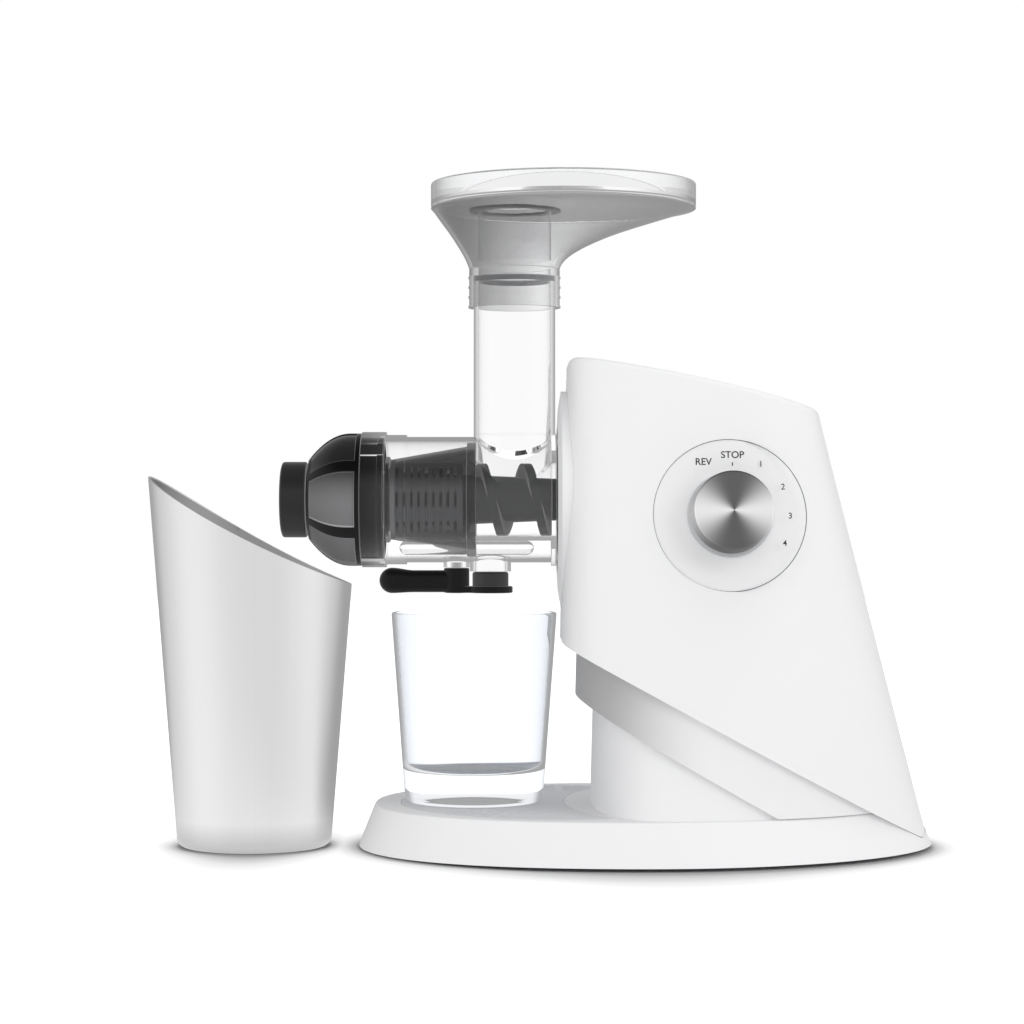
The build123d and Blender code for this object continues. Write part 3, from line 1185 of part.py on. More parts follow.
with BuildPart() as chassis_frame:
    with BuildSketch(along_x(CHASSIS_FRONT_X, 0, 0)) as front_wall:
        with Locations((0, (RAIL_BOTTOM_Z + CHASSIS_TOP_Z) / 2)):
            Rectangle(CHASSIS_FRONT_HALF_WIDTH * 2, CHASSIS_TOP_Z - RAIL_BOTTOM_Z)
        with Locations((0, AXIS_Z)):
            Circle(CHASSIS_HOLE_RADIUS, mode=Mode.SUBTRACT)
        fillet(front_wall.vertices().group_by(Axis.Y)[-1], CHASSIS_RAIL_WIDTH)
    extrude(front_wall.sketch, amount=CHASSIS_THICKNESS)
    with BuildSketch(along_x(SADDLE_X, 0, 0)) as saddle:
        with Locations((0, (RAIL_BOTTOM_Z + SADDLE_TOP_Z) / 2)):
            Rectangle(SADDLE_HALF_WIDTH * 2, SADDLE_TOP_Z - RAIL_BOTTOM_Z)
        with Locations((0, MOTOR_Z)):
            Circle(MOTOR_RADIUS + CUSHION_THICKNESS + SEAT_GAP, mode=Mode.SUBTRACT)
    extrude(saddle.sketch, amount=CHASSIS_THICKNESS)
    for rail_y in (-CHASSIS_RAIL_Y, CHASSIS_RAIL_Y):
        with BuildSketch(along_x(CHASSIS_FRONT_X, rail_y, RAIL_BOTTOM_Z + CHASSIS_RAIL_HEIGHT / 2)) as rail:
            Rectangle(CHASSIS_RAIL_WIDTH, CHASSIS_RAIL_HEIGHT)
        extrude(rail.sketch, amount=SADDLE_X - CHASSIS_FRONT_X)
save(chassis_frame, "chassis_frame")


def case_outline(margin):
    """The gearbox's rounded oblong, smaller by margin."""
    with Locations((GEARBOX_MIDDLE_Y, GEARBOX_MIDDLE_Z)):
        RectangleRounded(
            (GEARBOX_HALF_WIDTH - margin) * 2,
            (GEARBOX_HALF_HEIGHT - margin) * 2,
            GEARBOX_CORNER - margin,
        )


with BuildPart() as gearbox_front:
    with BuildSketch(along_x(CASE_FRONT_X, 0, 0)) as case_floor:
        case_outline(0)
        with Locations((0, AXIS_Z)):
            Circle(BEARING_RADIUS + SEAT_GAP, mode=Mode.SUBTRACT)
        with Locations(*SHAFT_PLACES):
            Circle(AXLE_RADIUS + SEAT_GAP, mode=Mode.SUBTRACT)
    extrude(case_floor.sketch, amount=GEARBOX_WALL)
    with BuildSketch(along_x(CASE_INSIDE_FRONT_X, 0, 0)) as case_wall:
        case_outline(0)
    with BuildSketch(along_x(CASE_INSIDE_FRONT_X, 0, 0)) as case_room:
        case_outline(GEARBOX_WALL)
    extrude(case_wall.sketch, amount=CASE_INSIDE_REAR_X - CASE_INSIDE_FRONT_X)
    extrude(case_room.sketch, amount=CASE_INSIDE_REAR_X - CASE_INSIDE_FRONT_X, mode=Mode.SUBTRACT)
    for screw_y, screw_z in CASE_SCREW_PLACES:
        sleeve(
            CASE_INSIDE_FRONT_X, CASE_INSIDE_REAR_X, GEARBOX_BOSS_RADIUS, GEARBOX_SCREW_RADIUS, screw_y, screw_z
        )
save(gearbox_front, "gearbox_front")

with BuildPart() as gearbox_rear:
    with BuildSketch(along_x(CASE_INSIDE_REAR_X, 0, 0)) as case_cover:
        case_outline(0)
        with Locations((0, AXIS_Z)):
            Circle(BEARING_RADIUS + SEAT_GAP, mode=Mode.SUBTRACT)
        with Locations(*SHAFT_PLACES):
            Circle(AXLE_RADIUS + SEAT_GAP, mode=Mode.SUBTRACT)
        with Locations((0, MOTOR_Z)):
            Circle(MODULE_FIRST * (TEETH_PINION + 2) / 2 + 1, mode=Mode.SUBTRACT)
        with Locations(*CASE_SCREW_PLACES):
            Circle(GEARBOX_SCREW_RADIUS + SEAT_GAP, mode=Mode.SUBTRACT)
    extrude(case_cover.sketch, amount=GEARBOX_WALL)
save(gearbox_rear, "gearbox_rear")

with BuildPart() as gearbox_screws:
    for screw_y, screw_z in CASE_SCREW_PLACES:
        sleeve(CASE_REAR_X, CASE_REAR_X + GEARBOX_SCREW_HEAD_HEIGHT, GEARBOX_SCREW_HEAD_RADIUS, 0, screw_y, screw_z)
        tip_x = CASE_REAR_X - GEARBOX_SCREW_LENGTH
        sleeve(tip_x, CASE_REAR_X, GEARBOX_SCREW_RADIUS - SEAT_GAP, 0, screw_y, screw_z)
save(gearbox_screws, "gearbox_screws")

with BuildPart() as gear_axles:
    for axle_y, axle_z in SHAFT_PLACES:
        sleeve(CASE_FRONT_X, CASE_REAR_X, AXLE_RADIUS, 0, axle_y, axle_z)
save(gear_axles, "gear_axles")

with BuildPart() as output_bearings:
    for bearing_x in (CASE_FRONT_X, CASE_INSIDE_REAR_X):
        sleeve(bearing_x, bearing_x + GEARBOX_WALL, BEARING_RADIUS, OUTPUT_SHAFT_RADIUS + RUNNING_CLEARANCE)
save(output_bearings, "output_bearings")


def gear_outline(teeth, module, tooth_angle):
    """Points round a spur gear with involute flanks, one tooth centred on tooth_angle."""
    pitch_radius = module * teeth / 2
    base_radius = pitch_radius * cos(radians(PRESSURE_ANGLE))
    tip_radius = pitch_radius + module
    root_radius = pitch_radius - 1.25 * module
    at_pitch = pi / (2 * teeth) - BACKLASH / (4 * pitch_radius)
    involute_at_pitch = tan(radians(PRESSURE_ANGLE)) - radians(PRESSURE_ANGLE)
    flank = []
    for radius in (max(base_radius, root_radius), pitch_radius, pitch_radius + module / 2, tip_radius):
        pressure = acos(min(1, base_radius / radius))
        flank.append((radius, at_pitch + involute_at_pitch - (tan(pressure) - pressure)))
    if base_radius > root_radius:
        flank.insert(0, (root_radius, flank[0][1]))
    points = []
    for tooth in range(teeth):
        middle = radians(tooth_angle) + 2 * pi * tooth / teeth
        for radius, half_angle in flank:
            points.append((radius * cos(middle - half_angle), radius * sin(middle - half_angle)))
        for radius, half_angle in reversed(flank):
            points.append((radius * cos(middle + half_angle), radius * sin(middle + half_angle)))
    return points


def spur_gear(x, width, y, z, teeth, module, tooth_angle, bore):
    """A spur gear standing square to X at a shaft."""
    with BuildSketch(along_x(x, y, z)) as wheel:
        with BuildLine():
            Polyline(*gear_outline(teeth, module, tooth_angle), close=True)
        make_face()
        Circle(bore, mode=Mode.SUBTRACT)
    extrude(wheel.sketch, amount=width)


def facing_gap(line_angle, teeth):
    """Tooth angle of a driven gear whose gap faces back along the line of centres."""
    return line_angle + 180 + 180 / teeth


with BuildPart() as output_gear:
    spur_gear(
        OUTPUT_GEAR_X, FACE_OUTPUT, 0, AXIS_Z, TEETH_OUTPUT, MODULE_OUTPUT,
        SECOND_SHAFT_ANGLE, OUTPUT_SHAFT_RADIUS + SEAT_GAP,
    )
save(output_gear, "output_gear")

with BuildPart() as output_shaft:
    sleeve(COUPLING_FRONT_X, COUPLING_FRONT_X + COUPLING_LENGTH, COUPLING_RADIUS)
    sleeve(COUPLING_FRONT_X + COUPLING_LENGTH, CASE_REAR_X, OUTPUT_SHAFT_RADIUS)
    with BuildSketch(along_x(COUPLING_FRONT_X)) as pocket:
        RegularPolygon(HEX_ACROSS_FLATS / 2 + HEX_CLEARANCE, 6, major_radius=False)
    extrude(pocket.sketch, amount=COUPLING_POCKET, mode=Mode.SUBTRACT)
save(output_shaft, "output_shaft")

with BuildPart() as second_gear:
    spur_gear(
        SECOND_GEAR_X, FACE_SECOND, SECOND_Y, SECOND_Z, TEETH_SECOND, MODULE_SECOND,
        FIRST_SHAFT_ANGLE, AXLE_RADIUS + RUNNING_CLEARANCE,
    )
    spur_gear(
        OUTPUT_GEAR_X, FACE_OUTPUT + GEAR_SPACE, SECOND_Y, SECOND_Z, TEETH_PINION, MODULE_OUTPUT,
        facing_gap(SECOND_SHAFT_ANGLE, TEETH_PINION), AXLE_RADIUS + RUNNING_CLEARANCE,
    )
save(second_gear, "second_gear")

with BuildPart() as first_gear:
    spur_gear(
        FIRST_GEAR_X, FACE_FIRST, FIRST_Y, FIRST_Z, TEETH_FIRST, MODULE_FIRST,
        MOTOR_ANGLE, AXLE_RADIUS + RUNNING_CLEARANCE,
    )
    spur_gear(
        SECOND_GEAR_X, FACE_SECOND + GEAR_SPACE, FIRST_Y, FIRST_Z, TEETH_PINION, MODULE_SECOND,
        facing_gap(FIRST_SHAFT_ANGLE, TEETH_PINION), AXLE_RADIUS + RUNNING_CLEARANCE,
    )
save(first_gear, "first_gear")

with BuildPart() as motor_pinion:
    spur_gear(
        FIRST_GEAR_X, FACE_FIRST, 0, MOTOR_Z, TEETH_PINION, MODULE_FIRST,
        facing_gap(MOTOR_ANGLE, TEETH_PINION), MOTOR_SHAFT_RADIUS + SEAT_GAP,
    )
save(motor_pinion, "motor_pinion")

# ---------------------------------------------------------------------------
# Motor
# ---------------------------------------------------------------------------

with BuildPart() as motor_can:
    sleeve(CAN_FRONT_X, CAN_REAR_X, MOTOR_RADIUS, MOTOR_RADIUS - MOTOR_WALL, 0, MOTOR_Z)
save(motor_can, "motor_can")

with BuildPart() as motor_bells:
    for bell_x in (BELL_FRONT_X, CAN_REAR_X):
        sleeve(bell_x, bell_x + MOTOR_BELL_THICKNESS, MOTOR_RADIUS, MOTOR_BEARING_RADIUS + SEAT_GAP, 0, MOTOR_Z)
save(motor_bells, "motor_bells")

with BuildPart() as motor_bearings:
    for bell_x in (BELL_FRONT_X, CAN_REAR_X):
        sleeve(
            bell_x, bell_x + MOTOR_BELL_THICKNESS, MOTOR_BEARING_RADIUS,
            MOTOR_SHAFT_RADIUS + RUNNING_CLEARANCE, 0, MOTOR_Z,
        )
save(motor_bearings, "motor_bearings")

MOTOR_MIDDLE_X = (CAN_FRONT_X + CAN_REAR_X) / 2
with BuildPart() as stator:
    sleeve(
        MOTOR_MIDDLE_X - STATOR_LENGTH / 2, MOTOR_MIDDLE_X + STATOR_LENGTH / 2,
        MOTOR_RADIUS - MOTOR_WALL - SEAT_GAP, STATOR_BORE, 0, MOTOR_Z,
    )
save(stator, "stator")

with BuildPart() as rotor:
    sleeve(MOTOR_MIDDLE_X - ROTOR_LENGTH / 2, MOTOR_MIDDLE_X + ROTOR_LENGTH / 2, ROTOR_RADIUS, 0, 0, MOTOR_Z)
    sleeve(FIRST_GEAR_X, FAN_X + FAN_LENGTH, MOTOR_SHAFT_RADIUS, 0, 0, MOTOR_Z)
save(rotor, "rotor")

with BuildPart() as cooling_fan:
    sleeve(FAN_X, FAN_X + FAN_LENGTH, FAN_HUB_RADIUS, 0, 0, MOTOR_Z)
    with BuildSketch(along_x(FAN_X, 0, MOTOR_Z)) as blades:
        with PolarLocations((FAN_RADIUS + FAN_HUB_RADIUS) / 2 - 1, FAN_BLADES):
            Rectangle(FAN_RADIUS - FAN_HUB_RADIUS + 2, MOTOR_WALL)
    extrude(blades.sketch, amount=FAN_LENGTH)
    sleeve(FAN_X, FAN_X + MOTOR_WALL, FAN_RADIUS - CUSHION_THICKNESS, 0, 0, MOTOR_Z)
    sleeve(FAN_X, FAN_X + FAN_LENGTH, MOTOR_SHAFT_RADIUS + SEAT_GAP, 0, 0, MOTOR_Z, mode=Mode.SUBTRACT)
save(cooling_fan, "cooling_fan")

with BuildPart() as motor_cushion:
    cushion_x = SADDLE_X + CHASSIS_THICKNESS / 2 - CUSHION_LENGTH / 2
    sleeve(
        cushion_x, cushion_x + CUSHION_LENGTH, MOTOR_RADIUS + CUSHION_THICKNESS,
        MOTOR_RADIUS + SEAT_GAP, 0, MOTOR_Z,
    )
save(motor_cushion, "motor_cushion")

# ---------------------------------------------------------------------------
# Speed knob, its switch and the control board
# ---------------------------------------------------------------------------

SWITCH_TOP = -DIAL_BOSS_WALL - SKIN_GAP
with BuildPart() as speed_knob:
    dial_disc(KNOB_LIFT + KNOB_RING_HEIGHT, KNOB_LIFT + KNOB_HEIGHT + KNOB_RING_HEIGHT, KNOB_RADIUS)
    chamfer(speed_knob.edges().sort_by(Axis.Y)[0], 0.8)
    dial_disc(0, KNOB_LIFT + KNOB_HEIGHT, SWITCH_SHAFT_RADIUS + SEAT_GAP, mode=Mode.SUBTRACT)
save(speed_knob, "speed_knob")

with BuildPart() as knob_ring:
    dial_disc(KNOB_LIFT, KNOB_LIFT + KNOB_RING_HEIGHT, KNOB_RING_RADIUS, SWITCH_NUT_ACROSS * 0.6 + KNOB_WALL)
save(knob_ring, "knob_ring")

with BuildPart() as switch_shaft:
    dial_disc(SWITCH_TOP - SWITCH_DEPTH / 2, KNOB_LIFT + KNOB_HEIGHT, SWITCH_SHAFT_RADIUS)
save(switch_shaft, "switch_shaft")

with BuildPart() as rotary_switch:
    with BuildSketch(DIAL_PLANE.offset(SWITCH_TOP - SWITCH_DEPTH)) as switch_box:
        RectangleRounded(SWITCH_SIZE, SWITCH_SIZE, 3)
    extrude(switch_box.sketch, amount=SWITCH_DEPTH)
    dial_disc(SWITCH_TOP, SWITCH_NUT_HEIGHT, SWITCH_BUSH_RADIUS)
    dial_disc(
        SWITCH_TOP - SWITCH_DEPTH / 2 - SKIN_GAP, SWITCH_NUT_HEIGHT,
        SWITCH_SHAFT_RADIUS + RUNNING_CLEARANCE, mode=Mode.SUBTRACT,
    )
save(rotary_switch, "rotary_switch")

with BuildPart() as switch_nut:
    with BuildSketch(DIAL_PLANE) as nut:
        RegularPolygon(SWITCH_NUT_ACROSS / 2, 6, major_radius=False)
        Circle(SWITCH_BUSH_RADIUS + SEAT_GAP, mode=Mode.SUBTRACT)
    extrude(nut.sketch, amount=SWITCH_NUT_HEIGHT)
save(switch_nut, "switch_nut")

BOARD_X = SADDLE_X + CHASSIS_THICKNESS - BOARD_LENGTH
BOARD_Z = SADDLE_TOP_Z
with BuildPart() as control_board:
    with BuildSketch(Plane.XY.offset(BOARD_Z)) as board:
        with Locations((BOARD_X + BOARD_LENGTH / 2, 0)):
            RectangleRounded(BOARD_LENGTH, BOARD_HALF_WIDTH * 2, 2)
    extrude(board.sketch, amount=BOARD_THICKNESS)
save(control_board, "control_board")

with BuildPart() as board_components:
    board_top = BOARD_Z + BOARD_THICKNESS
    with BuildSketch(Plane.XY.offset(board_top)) as blocks:
        with Locations((BOARD_X + 14, 12), (BOARD_X + 36, -14)):
            Rectangle(16, 12)
        with Locations((BOARD_X + 34, 12)):
            Circle(6)
        with Locations((BOARD_X + 12, -12)):
            Circle(4.5)
    extrude(blocks.sketch, amount=11)
save(board_components, "board_components")

# ---------------------------------------------------------------------------
# Gland that the supply cord would leave by, in the far wall of the base
# ---------------------------------------------------------------------------

with BuildPart() as cord_gland:
    gland_bar(GLAND_INSIDE_Y, GLAND_OUTSIDE_Y, GLAND_RADIUS, GLAND_BORE)
    gland_bar(GLAND_INSIDE_Y, GLAND_INSIDE_Y + GLAND_FLANGE, GLAND_FLANGE_RADIUS, GLAND_BORE)
    gland_bar(GLAND_OUTSIDE_Y - GLAND_FLANGE, GLAND_OUTSIDE_Y, GLAND_FLANGE_RADIUS, GLAND_BORE)
save(cord_gland, "cord_gland")
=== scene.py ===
"""A cold press juicer with its pulp cup and juice glass, dressed for a studio picture."""

import json
import logging
import math
from dataclasses import dataclass
from enum import Enum

import bmesh
import bpy
import numpy as np
from mathutils import Matrix, Vector

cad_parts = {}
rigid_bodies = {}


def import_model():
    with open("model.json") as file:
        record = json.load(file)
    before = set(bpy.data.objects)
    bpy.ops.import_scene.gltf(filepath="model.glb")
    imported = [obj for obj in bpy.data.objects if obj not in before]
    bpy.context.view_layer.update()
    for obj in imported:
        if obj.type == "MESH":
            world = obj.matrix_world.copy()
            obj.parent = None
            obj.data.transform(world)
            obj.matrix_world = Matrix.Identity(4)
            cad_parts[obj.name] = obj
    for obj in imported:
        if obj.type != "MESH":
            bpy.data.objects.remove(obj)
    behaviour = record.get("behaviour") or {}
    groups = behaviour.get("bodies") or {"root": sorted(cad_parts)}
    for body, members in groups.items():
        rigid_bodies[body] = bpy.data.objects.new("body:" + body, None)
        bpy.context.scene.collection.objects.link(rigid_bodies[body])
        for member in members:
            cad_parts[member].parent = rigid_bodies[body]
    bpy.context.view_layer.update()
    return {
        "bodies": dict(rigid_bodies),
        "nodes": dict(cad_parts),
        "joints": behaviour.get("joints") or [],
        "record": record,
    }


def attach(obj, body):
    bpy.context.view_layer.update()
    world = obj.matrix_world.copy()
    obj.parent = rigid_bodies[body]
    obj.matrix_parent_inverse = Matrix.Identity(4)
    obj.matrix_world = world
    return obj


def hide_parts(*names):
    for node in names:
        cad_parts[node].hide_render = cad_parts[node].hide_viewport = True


MM = 0.001
UV_NAME = "Surface"
Colour = tuple[float, float, float]
Triple = tuple[float, float, float]
Grid = np.ndarray
Socket = bpy.types.NodeSocket
BLACK = (0.0, 0.0, 0.0, 1.0)
WHITE = (1.0, 1.0, 1.0, 1.0)
log = logging.getLogger("juicer")


def screen(red: float, green: float, blue: float) -> Colour:
    """Turns a colour of 0 to 255 on a screen into the linear colour of a shader.

    Args:
        red, green, blue: The colour as it looks on a screen.

    Returns:
        The linear red, green and blue.
    """
    channels = np.array([red, green, blue]) / 255
    linear = np.where(channels <= 0.04045, channels / 12.92, ((channels + 0.055) / 1.055) ** 2.4)
    return tuple(float(c) for c in linear)


# ---------------------------------------------------------------------------
# Meshes from grids of points
# ---------------------------------------------------------------------------


@dataclass(frozen=True)
class Turning:
    """An axis that profiles are turned about, in millimetres.

    Attributes:
        origin: A point on the axis, where heights start.
        axis: The direction of growing height.
        start: The direction of angle zero, square to the axis.
    """

    origin: Triple
    axis: Triple = (0.0, 0.0, 1.0)
    start: Triple = (1.0, 0.0, 0.0)

    def frame(self) -> tuple[Grid, Grid, Grid, Grid]:
        """Returns the origin, the two radial directions and the axis as unit arrays."""
        up = np.array(self.axis) / np.linalg.norm(self.axis)
        across = np.array(self.start) - up * np.dot(self.start, up)
        across = across / np.linalg.norm(across)
        return np.array(self.origin, float), across, np.cross(up, across), up

    def sweep(self, radii: Grid, heights: Grid, columns: int) -> Grid:
        """Carries a profile round the axis.

        Each point is the origin, plus its radius along the direction of its angle, plus its height along the
        axis. Radii and heights may be one profile, or change with the angle as well.

        Args:
            radii: Radius for each row, or for each row and column.
            heights: Height for each row, or for each row and column.
            columns: How many angles go once round.

        Returns:
            Points as rows, columns and coordinates.
        """
        origin, across, aside, up = self.frame()
        angle = np.linspace(0, 2 * math.pi, columns, endpoint=False)
        radii = radii[:, None] if radii.ndim == 1 else radii
        heights = heights[:, None] if heights.ndim == 1 else heights
        ring = across * np.cos(angle)[:, None] + aside * np.sin(angle)[:, None]
        return origin + (radii[..., None] * ring[None]) + (heights[..., None] * up)


def arc(middle: tuple[float, float], radius: float, start: float, end: float, steps: int = 6) -> Grid:
    """Points of a round corner in a profile: the middle plus the radius turned from start to end.

    Args:
        middle: Radius and height of the corner's middle.
        radius: The corner's radius.
        start: First angle in degrees, from outwards, anticlockwise.
        end: Last angle in degrees.
        steps: Number of points.

    Returns:
        Points as rows of radius and height.
    """
    turn = np.radians(np.linspace(start, end, steps))
    return np.stack([middle[0] + radius * np.cos(turn), middle[1] + radius * np.sin(turn)], 1)


def put(name: str, data: bpy.types.ID) -> bpy.types.Object:
    """Makes an object of a mesh, lamp or camera and puts it into the scene, at the origin."""
    made = bpy.data.objects.new(name, data)
    bpy.context.scene.collection.objects.link(made)
    return made


def surface(name: str, grid: Grid, close_rows: bool = False, sharp: float = 35.0) -> bpy.types.Object:
    """Makes a mesh object from a grid of points in millimetres, with its own UV map.

    Neighbouring points are joined as squares, also from the last column to the first. Points in one place are
    merged, and squares that have lost a corner become triangles. The first UV coordinate runs along the columns
    and the second along the rows. A closed form whose volume comes out negative is turned round so that its faces
    point outwards.

    Args:
        name: Name of the piece.
        grid: Points as rows, columns and coordinates.
        close_rows: True where the last row meets the first.
        sharp: Edges that bend more than this many degrees stay sharp.

    Returns:
        The new object, at the origin.
    """
    rows, columns = grid.shape[:2]
    points = grid.reshape(-1, 3) * MM
    _, first, place = np.unique(np.round(points, 8), axis=0, return_index=True, return_inverse=True)
    place = place.reshape(-1)
    row, column = np.meshgrid(np.arange(rows if close_rows else rows - 1), np.arange(columns), indexing="ij")
    row, column = row.ravel(), column.ravel()
    below, beside = (row + 1) % rows, (column + 1) % columns
    square = (row * columns + column, row * columns + beside, below * columns + beside, below * columns + column)
    quads = place[np.stack(square, 1)]
    chart = ((column, row), (column + 1, row), (column + 1, row + 1), (column, row + 1))
    maps = np.stack([np.stack(pair, 1) for pair in chart], 1) / np.array([columns, rows])
    keep = quads != np.roll(quads, 1, axis=1)
    faces, charts = [], []
    for missing in (None, 0, 1, 2, 3):
        order = [i for i in range(4) if i != missing]
        chosen = keep.all(1) if missing is None else (keep.sum(1) == 3) & ~keep[:, missing]
        faces += quads[chosen][:, order].tolist()
        charts += maps[chosen][:, order].reshape(-1, 2).tolist()
    solid = points[first]
    triangles = np.array([[f[0], f[i], f[i + 1]] for f in faces for i in range(1, len(f) - 1)])
    a, b, c = (solid[triangles[:, i]] for i in range(3))
    mesh = bpy.data.meshes.new(name)
    mesh.from_pydata(solid.tolist(), [], faces)
    mesh.uv_layers.new(name=UV_NAME).data.foreach_set("uv", np.array(charts, np.float32).ravel())
    if np.einsum("ij,ij->i", a, np.cross(b, c)).sum() < 0:
        mesh.flip_normals()
    mesh.shade_smooth()
    mesh.set_sharp_from_angle(angle=math.radians(sharp))
    mesh.update()
    return put(name, mesh)


def turned(
    name: str, axis: Turning, rows: Grid, columns: int, close_rows: bool = False, sharp: float = 35.0
) -> bpy.types.Object:
    """Turns a profile once round an axis and makes it a mesh object.

    Args:
        name: Name of the piece.
        axis: The axis.
        rows: Points of the profile, as rows of radius and height.
        columns: How many angles go once round.
        close_rows: True where the last point meets the first.
        sharp: Edges that bend more than this many degrees stay sharp.

    Returns:
        The new object, at the origin.
    """
    return surface(name, axis.sweep(rows[:, 0], rows[:, 1], columns), close_rows, sharp)


def join(name: str, *pieces: bpy.types.Object) -> bpy.types.Object:
    """Puts several new meshes into one object.

    Args:
        name: Name of the joined piece.
        *pieces: The objects, which are used up.

    Returns:
        The joined object, at the origin.
    """
    whole = bmesh.new()
    for piece in pieces:
        whole.from_mesh(piece.data)
        bpy.data.objects.remove(piece)
    mesh = bpy.data.meshes.new(name)
    whole.to_mesh(mesh)
    whole.free()
    return put(name, mesh)


def loft(
    name: str, along: Grid, middle: Grid, half_width: Grid, half_height: Grid, power: float, columns: int = 64
) -> bpy.types.Object:
    """Makes a closed bar that lies along X from rounded sections.

    Each section is a squashed circle: its half width times the sine and its half height times the cosine of the
    angle, both raised to two over the power. The first and last sections close to a point.

    Args:
        name: Name of the bar.
        along: X of each section.
        middle: Y and Z of each section's middle.
        half_width: Half the width of each section.
        half_height: Half the height of each section.
        power: 2 for round sections, more for square ones.
        columns: Points round a section.

    Returns:
        The new object.
    """
    angle = np.linspace(0, 2 * math.pi, columns, endpoint=False)
    side, rise = (np.sign(wave) * np.abs(wave) ** (2 / power) for wave in (np.sin(angle), np.cos(angle)))
    across = middle[:, :1] + half_width[:, None] * side
    up = middle[:, 1:] + half_height[:, None] * rise
    rings = np.stack([along[:, None] + 0 * side, across, up], 2)
    ends = [np.repeat(rings[i].mean(0)[None], columns, 0)[None] for i in (0, -1)]
    return surface(name, np.concatenate([ends[0], rings, ends[1]]), sharp=50.0)


# ---------------------------------------------------------------------------
# Finishes
# ---------------------------------------------------------------------------


class Wiring:
    """Adds nodes to one node tree and joins them."""

    def __init__(self, tree: bpy.types.NodeTree) -> None:
        """Keeps the tree that nodes go into."""
        self.tree = tree

    def node(self, kind: str, sockets: dict | None = None, **settings: object) -> bpy.types.Node:
        """Adds a node.

        Args:
            kind: Blender's name of the node.
            sockets: Value or source socket for each input, by name or number.
            **settings: Properties of the node.

        Returns:
            The new node.
        """
        made = self.tree.nodes.new(kind)
        for name, value in settings.items():
            setattr(made, name, value)
        for name, value in (sockets or {}).items():
            if isinstance(value, Socket):
                self.tree.links.new(value, made.inputs[name])
            else:
                made.inputs[name].default_value = value
        return made

    def math(self, operation: str, first: object, second: object = 0.0, third: object = 0.0) -> Socket:
        """Adds a Math node and returns its output socket."""
        return self.node("ShaderNodeMath", {0: first, 1: second, 2: third}, operation=operation).outputs[0]

    def vector(self, operation: str, first: object, second: object = (0.0, 0.0, 0.0)) -> bpy.types.Node:
        """Adds a Vector Math node and returns it."""
        return self.node("ShaderNodeVectorMath", {0: first, 1: second}, operation=operation)

    def blend(self, share: object, first: object, second: object, way: str = "MIX") -> Socket:
        """Adds a Mix node for colours and returns its output socket."""
        return self.node("ShaderNodeMix", {0: share, 6: first, 7: second}, data_type="RGBA", blend_type=way).outputs[2]

    def span(
        self, value: Socket, start: float, end: float, low: object = 0.0, high: object = 1.0, way: str = "LINEAR"
    ) -> Socket:
        """Adds a Map Range node, which turns start to end into low to high, and returns its output socket."""
        sockets = {0: value, 1: start, 2: end, 3: low, 4: high}
        return self.node("ShaderNodeMapRange", sockets, interpolation_type=way).outputs[0]

    def part(self, vector: Socket, axis: int) -> Socket:
        """Returns one part of a vector, from 0 for X to 2 for Z."""
        return self.node("ShaderNodeSeparateXYZ", {0: vector}).outputs[axis]

    def grey(self, value: Socket) -> Socket:
        """Turns a value into a grey of that brightness."""
        return self.node("ShaderNodeCombineColor", {0: value, 1: value, 2: value}).outputs[0]

    def chart(self, kind: str = "Object") -> Socket:
        """Returns the piece's Object coordinates, or its own UV map."""
        return self.node("ShaderNodeTexCoord").outputs[kind]

    def noise(self, sockets: dict, **settings: object) -> Socket:
        """Adds a Noise Texture and returns its value."""
        return self.node("ShaderNodeTexNoise", sockets, **settings).outputs[0]

    def bump(self, height: Socket, depth: float, strength: float = 1.0) -> Socket:
        """Adds a Bump node of a depth in millimetres and returns its normal."""
        return self.node("ShaderNodeBump", {"Height": height, "Distance": depth * MM, "Strength": strength}).outputs[0]

    def fade(self, colour: object, place: Socket, ends: Triple, axis: int = 0) -> Socket:
        """Paints shade into a colour: darkens it towards one side of the object.

        Args:
            colour: The colour or its socket.
            place: Object coordinates.
            ends: Place in metres where it is darkest and where that ends, and the share that is left where it is
                darkest.
            axis: Axis of the places, 0 for X to 2 for Z.

        Returns:
            The colour's socket.
        """
        start, end, left = ends
        share = self.span(self.part(place, axis), start, end, left, way="SMOOTHSTEP")
        return self.blend(1.0, colour, self.grey(share), "MULTIPLY")

    def group(self, group: bpy.types.NodeTree, **sockets: object) -> bpy.types.Node:
        """Places a node group with values or sources for its inputs."""
        return self.node("ShaderNodeGroup", sockets, node_tree=group)


